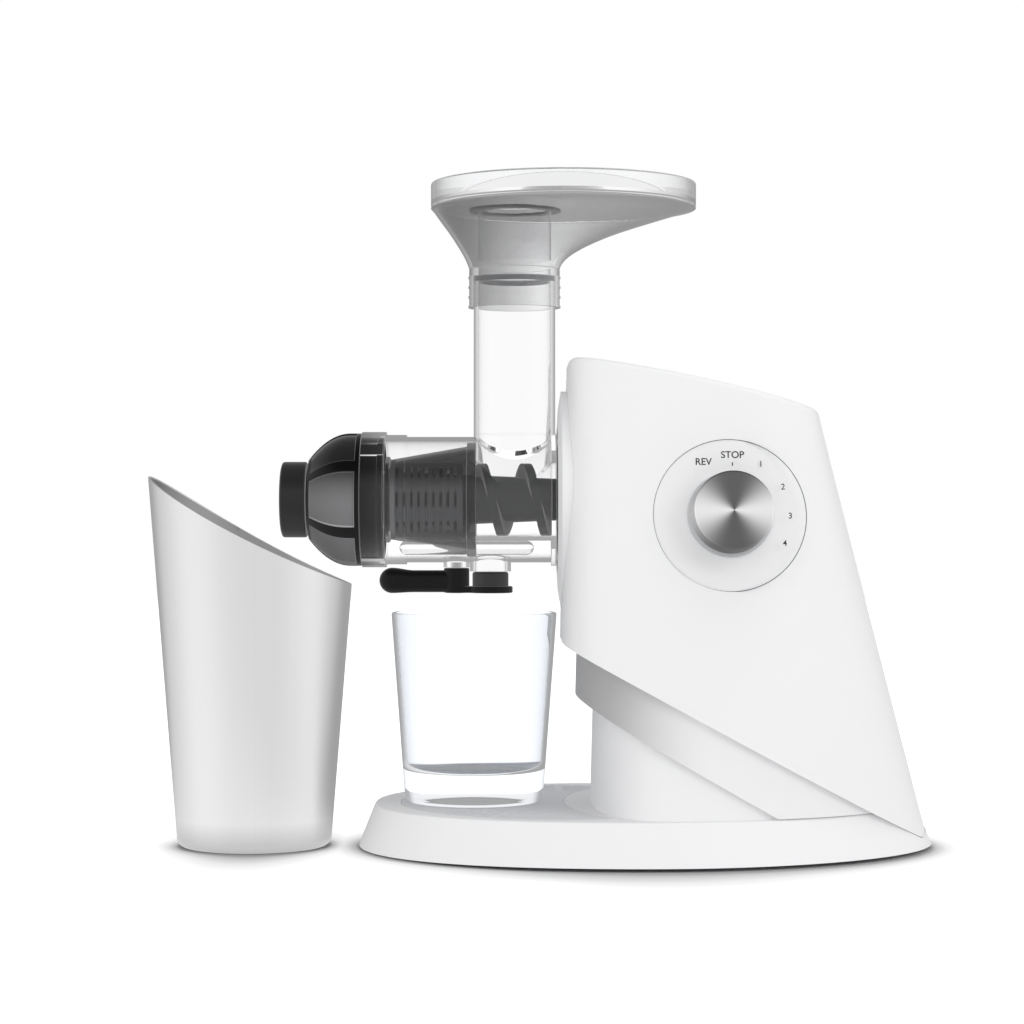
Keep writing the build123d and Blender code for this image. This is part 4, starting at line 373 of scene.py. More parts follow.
class Textures:
    """The shader node groups that several finishes share."""

    def __init__(self) -> None:
        """Builds the groups once."""
        self.grain = self._grain()
        self.lathe = self._lathe()
        self.smudge = self._smudge()
        self.painted_wings = self._painted_wings()
        self.panels = self._panels()

    @staticmethod
    def _start(name: str, inputs: dict[str, str], outputs: dict[str, str]) -> tuple[Wiring, object, object]:
        """Opens a new group with named sockets.

        Args:
            name: Name of the group.
            inputs: Kind of each input socket.
            outputs: Kind of each output socket.

        Returns:
            The wiring, the sockets that come into the group and the sockets that leave it.
        """
        tree = bpy.data.node_groups.new(name, "ShaderNodeTree")
        for direction, sockets in (("INPUT", inputs), ("OUTPUT", outputs)):
            for socket, kind in sockets.items():
                tree.interface.new_socket(socket, in_out=direction, socket_type="NodeSocket" + kind)
        wiring = Wiring(tree)
        return wiring, wiring.node("NodeGroupInput").outputs, wiring.node("NodeGroupOutput").inputs

    @staticmethod
    def _end(wiring: Wiring, leave: object, **sources: Socket) -> bpy.types.NodeTree:
        """Joins the sources to the sockets that leave a group, by name, and returns the group."""
        for name, source in sources.items():
            wiring.tree.links.new(source, leave[name])
        return wiring.tree

    @staticmethod
    def _shade(wiring: Wiring, enter: object, pattern: Socket, left: float) -> tuple[Socket, Socket]:
        """Lets a pattern darken a group's colour and spread its roughness.

        Args:
            wiring: The group's wiring.
            enter: The sockets that come into the group.
            pattern: The pattern's value, from 0 to 1.
            left: Share of the colour's brightness in its darker shade.

        Returns:
            Sockets of the colour and of the roughness.
        """
        darker = wiring.node("ShaderNodeHueSaturation", {"Value": left, "Color": enter["Colour"]}).outputs[0]
        colour = wiring.blend(wiring.math("MULTIPLY", pattern, enter["Shade"]), enter["Colour"], darker)
        away = wiring.math("SUBTRACT", pattern, 0.5)
        return colour, wiring.math("MULTIPLY_ADD", away, enter["Spread"], enter["Roughness"])

    def _grain(self) -> bpy.types.NodeTree:
        """Fine grain with broad mottling: it darkens the colour, spreads the roughness and gives a height."""
        inputs = {"Vector": "Vector", "Colour": "Color", "Shade": "Float", "Scale": "Float"}
        wiring, enter, leave = self._start(
            "surface_grain", {**inputs, "Roughness": "Float", "Spread": "Float"},
            {"Colour": "Color", "Roughness": "Float", "Height": "Float"},
        )
        fine = wiring.noise({"Vector": enter["Vector"], "Scale": enter["Scale"], "Detail": 4.0, "Roughness": 0.6})
        wide = wiring.math("MULTIPLY", enter["Scale"], 0.05)
        broad = wiring.noise({"Vector": enter["Vector"], "Scale": wide, "Detail": 3.0})
        both = wiring.math("ADD", wiring.math("MULTIPLY", broad, 0.6), wiring.math("MULTIPLY", fine, 0.4))
        colour, rough = self._shade(wiring, enter, both, 0.6)
        return self._end(wiring, leave, Colour=colour, Roughness=rough, Height=fine)

    def _lathe(self) -> bpy.types.NodeTree:
        """Fine turned lines across a direction: bands of uneven strength that shade the colour and give a height."""
        inputs = {"Position": "Float", "Colour": "Color", "Shade": "Float", "Lines": "Float"}
        wiring, enter, leave = self._start(
            "lathe_lines", {**inputs, "Roughness": "Float", "Spread": "Float"},
            {"Colour": "Color", "Roughness": "Float", "Height": "Float"},
        )
        sockets = {"W": enter["Position"], "Scale": enter["Lines"], "Detail": 5.0, "Roughness": 0.7}
        fine = wiring.noise(sockets, noise_dimensions="1D")
        colour, rough = self._shade(wiring, enter, fine, 0.55)
        return self._end(wiring, leave, Colour=colour, Roughness=rough, Height=fine)

    def _smudge(self) -> bpy.types.NodeTree:
        """Soft handling marks on a clear or polished surface: wide patches that raise the roughness a little."""
        wiring, enter, leave = self._start(
            "handling_marks", {"Vector": "Vector", "Scale": "Float", "Roughness": "Float", "Amount": "Float"},
            {"Roughness": "Float", "Height": "Float"},
        )
        patch = wiring.noise({"Vector": enter["Vector"], "Scale": enter["Scale"], "Detail": 3.0, "Distortion": 0.6})
        rough = wiring.math("MULTIPLY_ADD", wiring.span(patch, 0.5, 0.75), enter["Amount"], enter["Roughness"])
        return self._end(wiring, leave, Roughness=rough, Height=patch)

    def _painted_wings(self) -> bpy.types.NodeTree:
        """Painted reflection: a spun disc's two bright sectors, the angle's cosine to the power 3.4, over a darker
        rest.
        """
        wiring, enter, leave = self._start("painted_spun_wings", {"Vector": "Vector", "Rest": "Float"}, {"Share": "Color"})
        wave = wiring.math("COSINE", wiring.math("MULTIPLY", wiring.part(enter["Vector"], 0), 2 * math.pi))
        bright = wiring.math("POWER", wiring.math("ABSOLUTE", wave), 3.4)
        return self._end(wiring, leave, Share=wiring.grey(wiring.span(bright, 0.0, 1.0, enter["Rest"])))

    def _panels(self) -> bpy.types.NodeTree:
        """Masks of the sunk panels round a cap, by the UV map, and of the painted highlight line along their edges.

        There is one panel in each sixth of a turn, between two rows. Inside a panel the distance from its nearest
        edge grows, in steps that suit the mask and the line: its share of a sixth times 35, or of all rows times 46.
        """
        wiring, enter, leave = self._start(
            "cap_panels", {"Vector": "Vector", "From": "Float", "To": "Float"}, {"Mask": "Float", "Line": "Float"}
        )
        count, half_width, aside_rate, along_rate = 6.0, 0.405, 35.0, 46.0
        turned, row = wiring.part(enter["Vector"], 0), wiring.part(enter["Vector"], 1)
        turns = wiring.math("FRACT", wiring.math("MULTIPLY_ADD", turned, count, 0.5))
        away = wiring.math("ABSOLUTE", wiring.math("SUBTRACT", turns, 0.5))
        across = wiring.math("MULTIPLY", wiring.math("SUBTRACT", half_width, away), aside_rate)
        first, last = wiring.math("SUBTRACT", row, enter["From"]), wiring.math("SUBTRACT", enter["To"], row)
        along = wiring.math("MULTIPLY", wiring.math("MINIMUM", first, last), along_rate)
        within = wiring.math("MINIMUM", across, along)
        near = wiring.math("ABSOLUTE", wiring.math("SUBTRACT", within, 0.1))
        # The line mask carries a painted highlight round each panel.
        mask, line = wiring.span(within, 0.0, 0.6), wiring.span(near, 0.45, 0.1)
        return self._end(wiring, leave, Mask=mask, Line=line)


class Shop:
    """Builds each finish's material once and hands it out."""

    def __init__(self) -> None:
        """Builds the shared groups and starts with no materials."""
        self.textures = Textures()
        self.made: dict[str, bpy.types.Material] = {}

    def open(self, name: str) -> tuple[bpy.types.Material, Wiring]:
        """Starts an empty material.

        Args:
            name: Name of the finish.

        Returns:
            The material and its wiring.
        """
        material = bpy.data.materials.new("finish_" + name)
        material.use_nodes = True
        material.node_tree.nodes.clear()
        return material, Wiring(material.node_tree)

    def material(self, finish: "Finish") -> bpy.types.Material:
        """Returns the finish's material, built at its first use."""
        if finish.name not in self.made:
            self.made[finish.name] = finish.build(self)
        return self.made[finish.name]

    @staticmethod
    def close(wiring: Wiring, shader: Socket) -> None:
        """Joins a shader to the material's output."""
        wiring.node("ShaderNodeOutputMaterial", {"Surface": shader})


@dataclass(frozen=True)
class Finish:
    """What every finish has.

    Attributes:
        name: The finish's name, which is the record's material slot.
        colour: Linear base colour.
        roughness: Roughness of the surface.
    """

    name: str
    colour: Colour
    roughness: float = 0.4

    def build(self, shop: Shop) -> bpy.types.Material:
        """Builds the material; each kind of finish has its own."""
        raise NotImplementedError


@dataclass(frozen=True)
class Moulded(Finish):
    """An opaque moulded plastic or rubber with fine grain.

    Attributes:
        scale: Grains to the metre.
        relief: Depth of the grain in millimetres.
        shade: How much the colour varies.
        spread: How much the roughness varies.
        shine: Strength of the reflection, 0.5 for common plastic.
        ends: Where painted shade darkens the colour towards one side, if it does.
    """

    scale: float = 900.0
    relief: float = 0.02
    shade: float = 0.06
    spread: float = 0.1
    shine: float = 0.5
    ends: Triple | None = None

    def build(self, shop: Shop) -> bpy.types.Material:
        """Wires the grain into colour, roughness and bump."""
        material, wiring = shop.open(self.name)
        place = wiring.chart()
        grain = wiring.group(
            shop.textures.grain, Vector=place, Colour=(*self.colour, 1.0), Shade=self.shade,
            Scale=self.scale, Roughness=self.roughness, Spread=self.spread,
        )
        colour = grain.outputs["Colour"]
        # Painted shade: the colour darkens towards one side.
        if self.ends:
            colour = wiring.fade(colour, place, self.ends)
        shader = wiring.node(
            "ShaderNodeBsdfPrincipled",
            {
                "Base Color": colour, "Roughness": grain.outputs["Roughness"], "Specular IOR Level": self.shine,
                "Normal": wiring.bump(grain.outputs["Height"], self.relief), "IOR": 1.5,
            },
        )
        shop.close(wiring, shader.outputs[0])
        return material


@dataclass(frozen=True)
class Clear(Finish):
    """A see-through plastic or glass whose walls look darker where they are seen edge on.

    Attributes:
        edge: Linear colour where the surface is seen edge on.
        reach: Power of the facing angle; the higher, the nearer to the edge that colour stays.
        index: Index of refraction.
        passes: Linear colour of the light that lamps send through.
        marks: How much handling marks raise the roughness.
        ends: Where painted shade darkens the colour towards one side, if it does.
    """

    edge: Colour = (0.3, 0.3, 0.3)
    reach: float = 4.0
    index: float = 1.49
    passes: Colour = (0.8, 0.8, 0.8)
    marks: float = 0.05
    ends: Triple | None = None

    def build(self, shop: Shop) -> bpy.types.Material:
        """Wires the edge colour and handling marks, and lets lamps through."""
        material, wiring = shop.open(self.name)
        place = wiring.chart()
        marks = wiring.group(
            shop.textures.smudge, Vector=place, Scale=28.0, Roughness=self.roughness, Amount=self.marks
        )
        facing = wiring.node("ShaderNodeLayerWeight", {"Blend": 0.5}).outputs["Facing"]
        near = wiring.math("POWER", facing, self.reach)
        tint = wiring.blend(near, (*self.colour, 1.0), (*self.edge, 1.0))
        # Painted shade: the tint darkens towards one side.
        if self.ends:
            tint = wiring.fade(tint, place, self.ends)
        shader = wiring.node(
            "ShaderNodeBsdfPrincipled",
            {
                "Base Color": tint, "Roughness": marks.outputs["Roughness"], "Transmission Weight": 1.0,
                "Normal": wiring.bump(marks.outputs["Height"], 0.02, 0.6), "IOR": self.index,
            },
        )
        passing = wiring.node("ShaderNodeBsdfTransparent", {"Color": (*self.passes, 1.0)})
        lamp = wiring.node("ShaderNodeLightPath").outputs["Is Shadow Ray"]
        mixed = wiring.node("ShaderNodeMixShader", {0: lamp, 1: shader.outputs[0], 2: passing.outputs[0]})
        shop.close(wiring, mixed.outputs[0])
        return material


class Lines(Enum):
    """Which way a metal's fine lines lie."""

    STREAKS = "upright streaks round a standing piece, by the UV map"
    RINGS = "rings round a turned face, by the UV map"
    CAST = "no lines, a fine cast grain"
    BARREL = "rings along a bar that lies along X"


@dataclass(frozen=True)
class Metal(Finish):
    """Bare metal with fine working lines.

    Attributes:
        lines: Which way the lines lie.
        pitch: Lines to the metre, or to the whole face for rings.
        stretch: Anisotropy of the shine.
        relief: Depth of the lines in millimetres.
        shade: How much the colour varies.
        spread: How much the roughness varies.
        turn: Turn of the anisotropy, as a share of a whole turn.
        painted_bow: Share of the colour left between the two bright sectors of a spun face, a painted reflection, or 1
            for none.
        inside: First row of a vessel's inner face, as a share of all rows, and the share of the colour left there.
        foot: Height in metres over which such a vessel darkens down to its foot, and how much.
    """

    lines: Lines = Lines.CAST
    pitch: float = 900.0
    stretch: float = 0.0
    relief: float = 0.004
    shade: float = 0.15
    spread: float = 0.12
    turn: float = 0.0
    painted_bow: float = 1.0
    inside: tuple[float, float] | None = None
    foot: tuple[float, float] = (0.016, 0.4)

    def build(self, shop: Shop) -> bpy.types.Material:
        """Wires lines or cast grain into colour, roughness and bump, and paints reflection and shade in where asked.
        """
        material, wiring = shop.open(self.name)
        if self.lines is Lines.CAST:
            pattern = wiring.group(
                shop.textures.grain, Vector=wiring.chart(), Colour=(*self.colour, 1.0), Shade=self.shade,
                Scale=self.pitch, Roughness=self.roughness, Spread=self.spread,
            )
        else:
            chart = wiring.chart("Object" if self.lines is Lines.BARREL else "UV")
            position = wiring.part(chart, 1 if self.lines is Lines.RINGS else 0)
            pattern = wiring.group(
                shop.textures.lathe, Position=position, Colour=(*self.colour, 1.0), Shade=self.shade,
                Lines=self.pitch, Roughness=self.roughness, Spread=self.spread,
            )
        colour = pattern.outputs["Colour"]
        # Painted reflection: the spun face's bright and dark sectors go into its colour.
        if self.painted_bow < 1:
            painted_wings = wiring.group(shop.textures.painted_wings, Vector=wiring.chart("UV"), Rest=self.painted_bow)
            colour = wiring.blend(1.0, colour, painted_wings.outputs["Share"], "MULTIPLY")
        # Painted shade: a vessel's inner face is darkened, and the whole vessel darkens towards its foot.
        if self.inside:
            first, left = self.inside
            within = wiring.math("GREATER_THAN", wiring.part(wiring.chart("UV"), 1), first)
            colour = wiring.blend(wiring.math("MULTIPLY", within, 1 - left), colour, BLACK)
            height, most = self.foot
            colour = wiring.blend(wiring.span(wiring.part(wiring.chart(), 2), 0.0, height, most, 0.0), colour, BLACK)
        sockets = {
            "Base Color": colour, "Roughness": pattern.outputs["Roughness"], "Metallic": 1.0,
            "Normal": wiring.bump(pattern.outputs["Height"], self.relief), "Anisotropic": self.stretch,
            "Anisotropic Rotation": self.turn,
        }
        if self.stretch > 0:
            sockets["Tangent"] = wiring.node("ShaderNodeTangent", direction_type="UV_MAP", uv_map=UV_NAME).outputs[0]
        shader = wiring.node("ShaderNodeBsdfPrincipled", sockets)
        shop.close(wiring, shader.outputs[0])
        return material


@dataclass(frozen=True)
class Panelled(Finish):
    """Dark smoke plastic of a cap whose sunk panels are painted lighter, a painted reflection, with a painted
    highlight round each.

    Attributes:
        panel: Linear colour of the panels, a painted reflection.
        line: Linear colour of the painted highlight along the edge round each panel.
        rows: First and last row of the panels, as shares of all rows.
        shine: Strength of the reflection.
        painted_top_shade: Height in metres above which it is darkest, the height below which it isn't darkened, and
            the share of the colour that is left above.
    """

    panel: Colour = (0.1, 0.1, 0.1)
    line: Colour = (0.42, 0.42, 0.43)
    rows: tuple[float, float] = (0.2, 0.4)
    shine: float = 0.5
    painted_top_shade: Triple = (0.212, 0.186, 0.06)

    def build(self, shop: Shop) -> bpy.types.Material:
        """Paints the panels' reflection and edge highlight by their mask, and wires handling marks into the roughness.
        """
        material, wiring = shop.open(self.name)
        mask = wiring.group(shop.textures.panels, Vector=wiring.chart("UV"), From=self.rows[0], To=self.rows[1])
        marks = wiring.group(
            shop.textures.smudge, Vector=wiring.chart(), Scale=60.0, Roughness=self.roughness, Amount=0.05
        )
        # The panels' lighter colour is a painted reflection, and the line round them a painted highlight.
        tint = wiring.blend(mask.outputs["Mask"], (*self.colour, 1.0), (*self.panel, 1.0))
        tint = wiring.blend(mask.outputs["Line"], tint, (*self.line, 1.0))
        # Painted shade: the cap darkens towards its top.
        tint = wiring.fade(tint, wiring.chart(), self.painted_top_shade, 2)
        shader = wiring.node(
            "ShaderNodeBsdfPrincipled",
            {
                "Base Color": tint, "Roughness": marks.outputs["Roughness"], "Specular IOR Level": self.shine,
                "Normal": wiring.bump(marks.outputs["Height"], 0.02, 0.5), "IOR": 1.5,
            },
        )
        shop.close(wiring, shader.outputs[0])
        return material


@dataclass(frozen=True)
class Patterned(Finish):
    """A hidden piece's two-colour pattern, such as a circuit board's tracks or a winding's wire.

    Attributes:
        second: The pattern's other linear colour.
        scale: Size of the pattern.
        metallic: 1 for metal.
        wound: True for wound wire, false for tracks.
    """

    second: Colour = (0.0, 0.0, 0.0)
    scale: float = 400.0
    metallic: float = 0.0
    wound: bool = False

    def build(self, shop: Shop) -> bpy.types.Material:
        """Wires bands of wire or cells of tracks into colour and bump."""
        material, wiring = shop.open(self.name)
        sockets = {"Vector": wiring.chart(), "Scale": self.scale}
        if self.wound:
            wave = wiring.node("ShaderNodeTexWave", {**sockets, "Distortion": 1.5}, bands_direction="X")
            pattern = wave.outputs[1]
        else:
            cells = wiring.node("ShaderNodeTexVoronoi", sockets, feature="DISTANCE_TO_EDGE", distance="EUCLIDEAN")
            pattern = wiring.math("LESS_THAN", cells.outputs[0], 0.08)
        tint = wiring.blend(pattern, (*self.colour, 1.0), (*self.second, 1.0))
        shader = wiring.node(
            "ShaderNodeBsdfPrincipled",
            {
                "Base Color": tint, "Roughness": self.roughness, "Metallic": self.metallic,
                "Normal": wiring.bump(pattern, 0.1, 0.5),
            },
        )
        shop.close(wiring, shader.outputs[0])
        return material


WHITE_SHELL = Moulded("white_shell", screen(242, 242, 243), 0.42, scale=1400.0, relief=0.012, shade=0.03)
# The inner shell darkens towards its front: painted shade under the cowl.
INNER_SHELL = Moulded(
    "inner_shell", screen(240, 240, 241), 0.4, scale=1400.0, relief=0.012, shade=0.03, ends=(0.022, 0.09, 0.5)
)
PLATE_PLASTIC = Moulded("plate_plastic", screen(188, 190, 192), 0.55, shade=0.1)
FOOT_RUBBER = Moulded("foot_rubber", screen(44, 44, 46), 0.8, scale=1800.0, relief=0.05, shade=0.25)
SEAL_RUBBER = Moulded("seal_rubber", screen(120, 122, 125), 0.6, scale=1500.0, relief=0.03, shade=0.15)
TRAY_GREY = Moulded("tray_grey", screen(226, 228, 231), 0.35, scale=1200.0, relief=0.015, shade=0.05)
DARK_PLASTIC = Moulded("dark_plastic", screen(46, 47, 49), 0.35, shade=0.2)
AUGER_PLASTIC = Moulded("auger_plastic", screen(34, 35, 37), 0.32, shade=0.15, shine=0.12)
LEVER_PLASTIC = Moulded("lever_plastic", screen(6, 6, 7), 0.22, scale=700.0, relief=0.004, shade=0.2, shine=0.2)
RING_PLASTIC = Moulded("ring_plastic", screen(205, 207, 209), 0.3, shade=0.05)
FAN_PLASTIC = Moulded("fan_plastic", screen(60, 62, 64), 0.45, shade=0.15)
SWITCH_PLASTIC = Moulded("switch_plastic", screen(32, 33, 34), 0.4, shade=0.15)
COMPONENT_PLASTIC = Moulded("component_plastic", screen(36, 37, 40), 0.35, shade=0.3)
GEAR_NYLON = Moulded("gear_nylon", screen(222, 218, 205), 0.4, shade=0.1)
LABEL_INK = Moulded("white_shell_ink", screen(40, 40, 42), 0.5, shade=0.1)
# A dark ring that stands for the shadow at the dial recess's edge: painted shadow.
PAINTED_RECESS_SHADOW = Moulded("white_shell_painted_shadow", screen(96, 96, 98), 0.6, shade=0.1)
# The drum darkens towards its front end: painted shade.
CLEAR_PLASTIC = Clear(
    "clear_plastic", (0.98, 0.98, 0.982), 0.02, edge=(0.12, 0.12, 0.13), reach=6.0, index=1.33, passes=(0.9, 0.9, 0.9),
    ends=(-0.098, -0.081, 0.3),
)
# The hopper's funnel darkens towards its left: painted shade.
SMOKE_PLASTIC = Clear(
    "smoke_plastic", (0.97, 0.972, 0.976), 0.02, edge=(0.01, 0.01, 0.011), reach=2.6, passes=(0.8, 0.8, 0.8),
    ends=(-0.062, 0.02, 0.34),
)
SCREEN_SMOKE = Clear(
    "screen_smoke", (0.2, 0.2, 0.205), 0.04, edge=(0.01, 0.01, 0.011), reach=2.0, index=1.25, passes=(0.4, 0.4, 0.4)
)
DISH_SMOKE = Clear(
    "smoke_plastic_dish", (0.86, 0.862, 0.866), 0.02, edge=(0.01, 0.01, 0.011), reach=3.0, passes=(0.7, 0.7, 0.7)
)
CHUTE_CLEAR = Clear(
    "smoke_plastic_chute", (0.93, 0.93, 0.935), 0.02, edge=(0.3, 0.3, 0.31), reach=6.0, index=1.06,
    passes=(0.9, 0.9, 0.9),
)
RING_SMOKE = Moulded(
    "smoke_plastic_ring", (0.004, 0.004, 0.004), 0.25, scale=900.0, relief=0.004, shade=0.15, shine=0.3
)
NOZZLE_SMOKE = Moulded(
    "dark_smoke_nozzle", (0.012, 0.012, 0.013), 0.22, scale=900.0, relief=0.004, shade=0.15, shine=0.35
)
SEAL_BLACK = Moulded("seal_black", screen(30, 30, 32), 0.25, scale=1500.0, relief=0.01, shade=0.15)
# The cap's lighter panels are a painted reflection, with a painted highlight round each and painted shade on top.
DARK_SMOKE = Panelled(
    "dark_smoke", (0.006, 0.006, 0.007), 0.14, panel=(0.2, 0.2, 0.205), rows=(0.105, 0.802), shine=0.16
)
CLEAR_GLASS = Clear(
    "clear_glass", (0.905, 0.916, 0.935), 0.0, edge=(0.66, 0.69, 0.75), reach=2.0, index=1.16,
    passes=(0.95, 0.96, 0.97), marks=0.02,
)
# The cup's darker inner face and foot are painted shade.
CUP_STEEL = Metal(
    "cup_steel", screen(238, 238, 239), 0.34, lines=Lines.STREAKS, pitch=160.0, stretch=0.8, shade=0.06, spread=0.04,
    relief=0.0005, turn=0.25, inside=(0.548, 0.4),
)
# The knob's bright and dark sectors are a painted reflection.
KNOB_STEEL = Metal(
    "knob_steel", screen(255, 255, 255), 0.34, lines=Lines.RINGS, pitch=220.0, stretch=0.6, shade=0.12, relief=0.001,
    turn=0.25, painted_bow=0.16,
)
MESH_STEEL = Metal("mesh_steel", screen(150, 151, 153), 0.3, lines=Lines.BARREL, pitch=5000.0)
SCREW_STEEL = Metal("screw_steel", screen(170, 171, 173), 0.3, pitch=3000.0)
FRAME_STEEL = Metal("frame_steel", screen(150, 152, 155), 0.45, pitch=600.0, shade=0.3)
CASE_ALLOY = Metal("case_alloy", screen(165, 167, 169), 0.5, pitch=900.0, relief=0.03, shade=0.25)
SHAFT_STEEL = Metal("shaft_steel", screen(178, 179, 181), 0.22, lines=Lines.BARREL, pitch=4000.0)
BEARING_BRONZE = Metal("bearing_bronze", screen(176, 138, 86), 0.35, lines=Lines.BARREL, pitch=4000.0)
GEAR_STEEL = Metal("gear_steel", screen(150, 151, 154), 0.3, lines=Lines.BARREL, pitch=3000.0)
CAN_STEEL = Metal("can_steel", screen(160, 162, 165), 0.35, lines=Lines.BARREL, pitch=2500.0)
BOARD_GREEN = Patterned("board_green", screen(22, 92, 58), 0.4, second=screen(66, 140, 96), scale=260.0)
WINDING_COPPER = Patterned(
    "winding_copper", screen(184, 104, 58), 0.35, second=screen(96, 46, 24), scale=260.0, metallic=1.0, wound=True
)


# ---------------------------------------------------------------------------
# Sub-assemblies
# ---------------------------------------------------------------------------


@dataclass
class Assembly:
    """A group of pieces that are built and dressed together.

    Attributes:
        frame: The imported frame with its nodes.
        shop: Where the finishes' materials come from.
    """

    frame: dict
    shop: Shop

    def dress(self, finish: Finish, *nodes: str) -> None:
        """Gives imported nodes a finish.

        Args:
            finish: The finish.
            *nodes: Names of the nodes.
        """
        for node in nodes:
            packed = self.frame["nodes"][node]
            packed.visible_glossy = False
            packed.data.materials.clear()
            packed.data.materials.append(self.shop.material(finish))
            log.info("dressed %s in %s", node, finish.name)

    def add(self, piece: bpy.types.Object, finish: Finish, body: str, *replaced: str, slot: str = "") -> None:
        """Dresses a new piece and lets it ride on a body.

        Args:
            piece: The piece's object.
            finish: Its finish.
            body: Name of the body that carries it.
            *replaced: Names of the nodes that it stands for.
            slot: The record's slot, where it isn't the finish's name; not used.
        """
        piece.data.materials.clear()
        piece.data.materials.append(self.shop.material(finish))
        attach(piece, body)
        if replaced:
            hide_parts(*replaced)
        piece.visible_glossy = False
        log.info("built %s on %s", piece.name, body)

    def build(self) -> None:
        """Builds and dresses the pieces; each sub-assembly has its own."""
        raise NotImplementedError


class Stand(Assembly):
    """Base, inner body, drip tray and what is under them."""

    def build(self) -> None:
        """Dresses the stand's nodes."""
        self.dress(WHITE_SHELL, "base_shell", "pedestal")
        self.dress(INNER_SHELL, "inner_body")
        self.dress(PLATE_PLASTIC, "base_bottom_plate")
        self.dress(FOOT_RUBBER, "rubber_feet", "cord_gland")
        self.dress(SCREW_STEEL, "base_screws")
        self.dress(TRAY_GREY, "drip_tray")


class Housing(Assembly):
    """Cowl, bezel and the drum's socket."""

    def build(self) -> None:
        """Dresses the housing's nodes."""
        self.dress(WHITE_SHELL, "cowl", "front_bezel")
        self.dress(DARK_PLASTIC, "drum_socket")
        self.dress(SEAL_RUBBER, "shaft_seal")


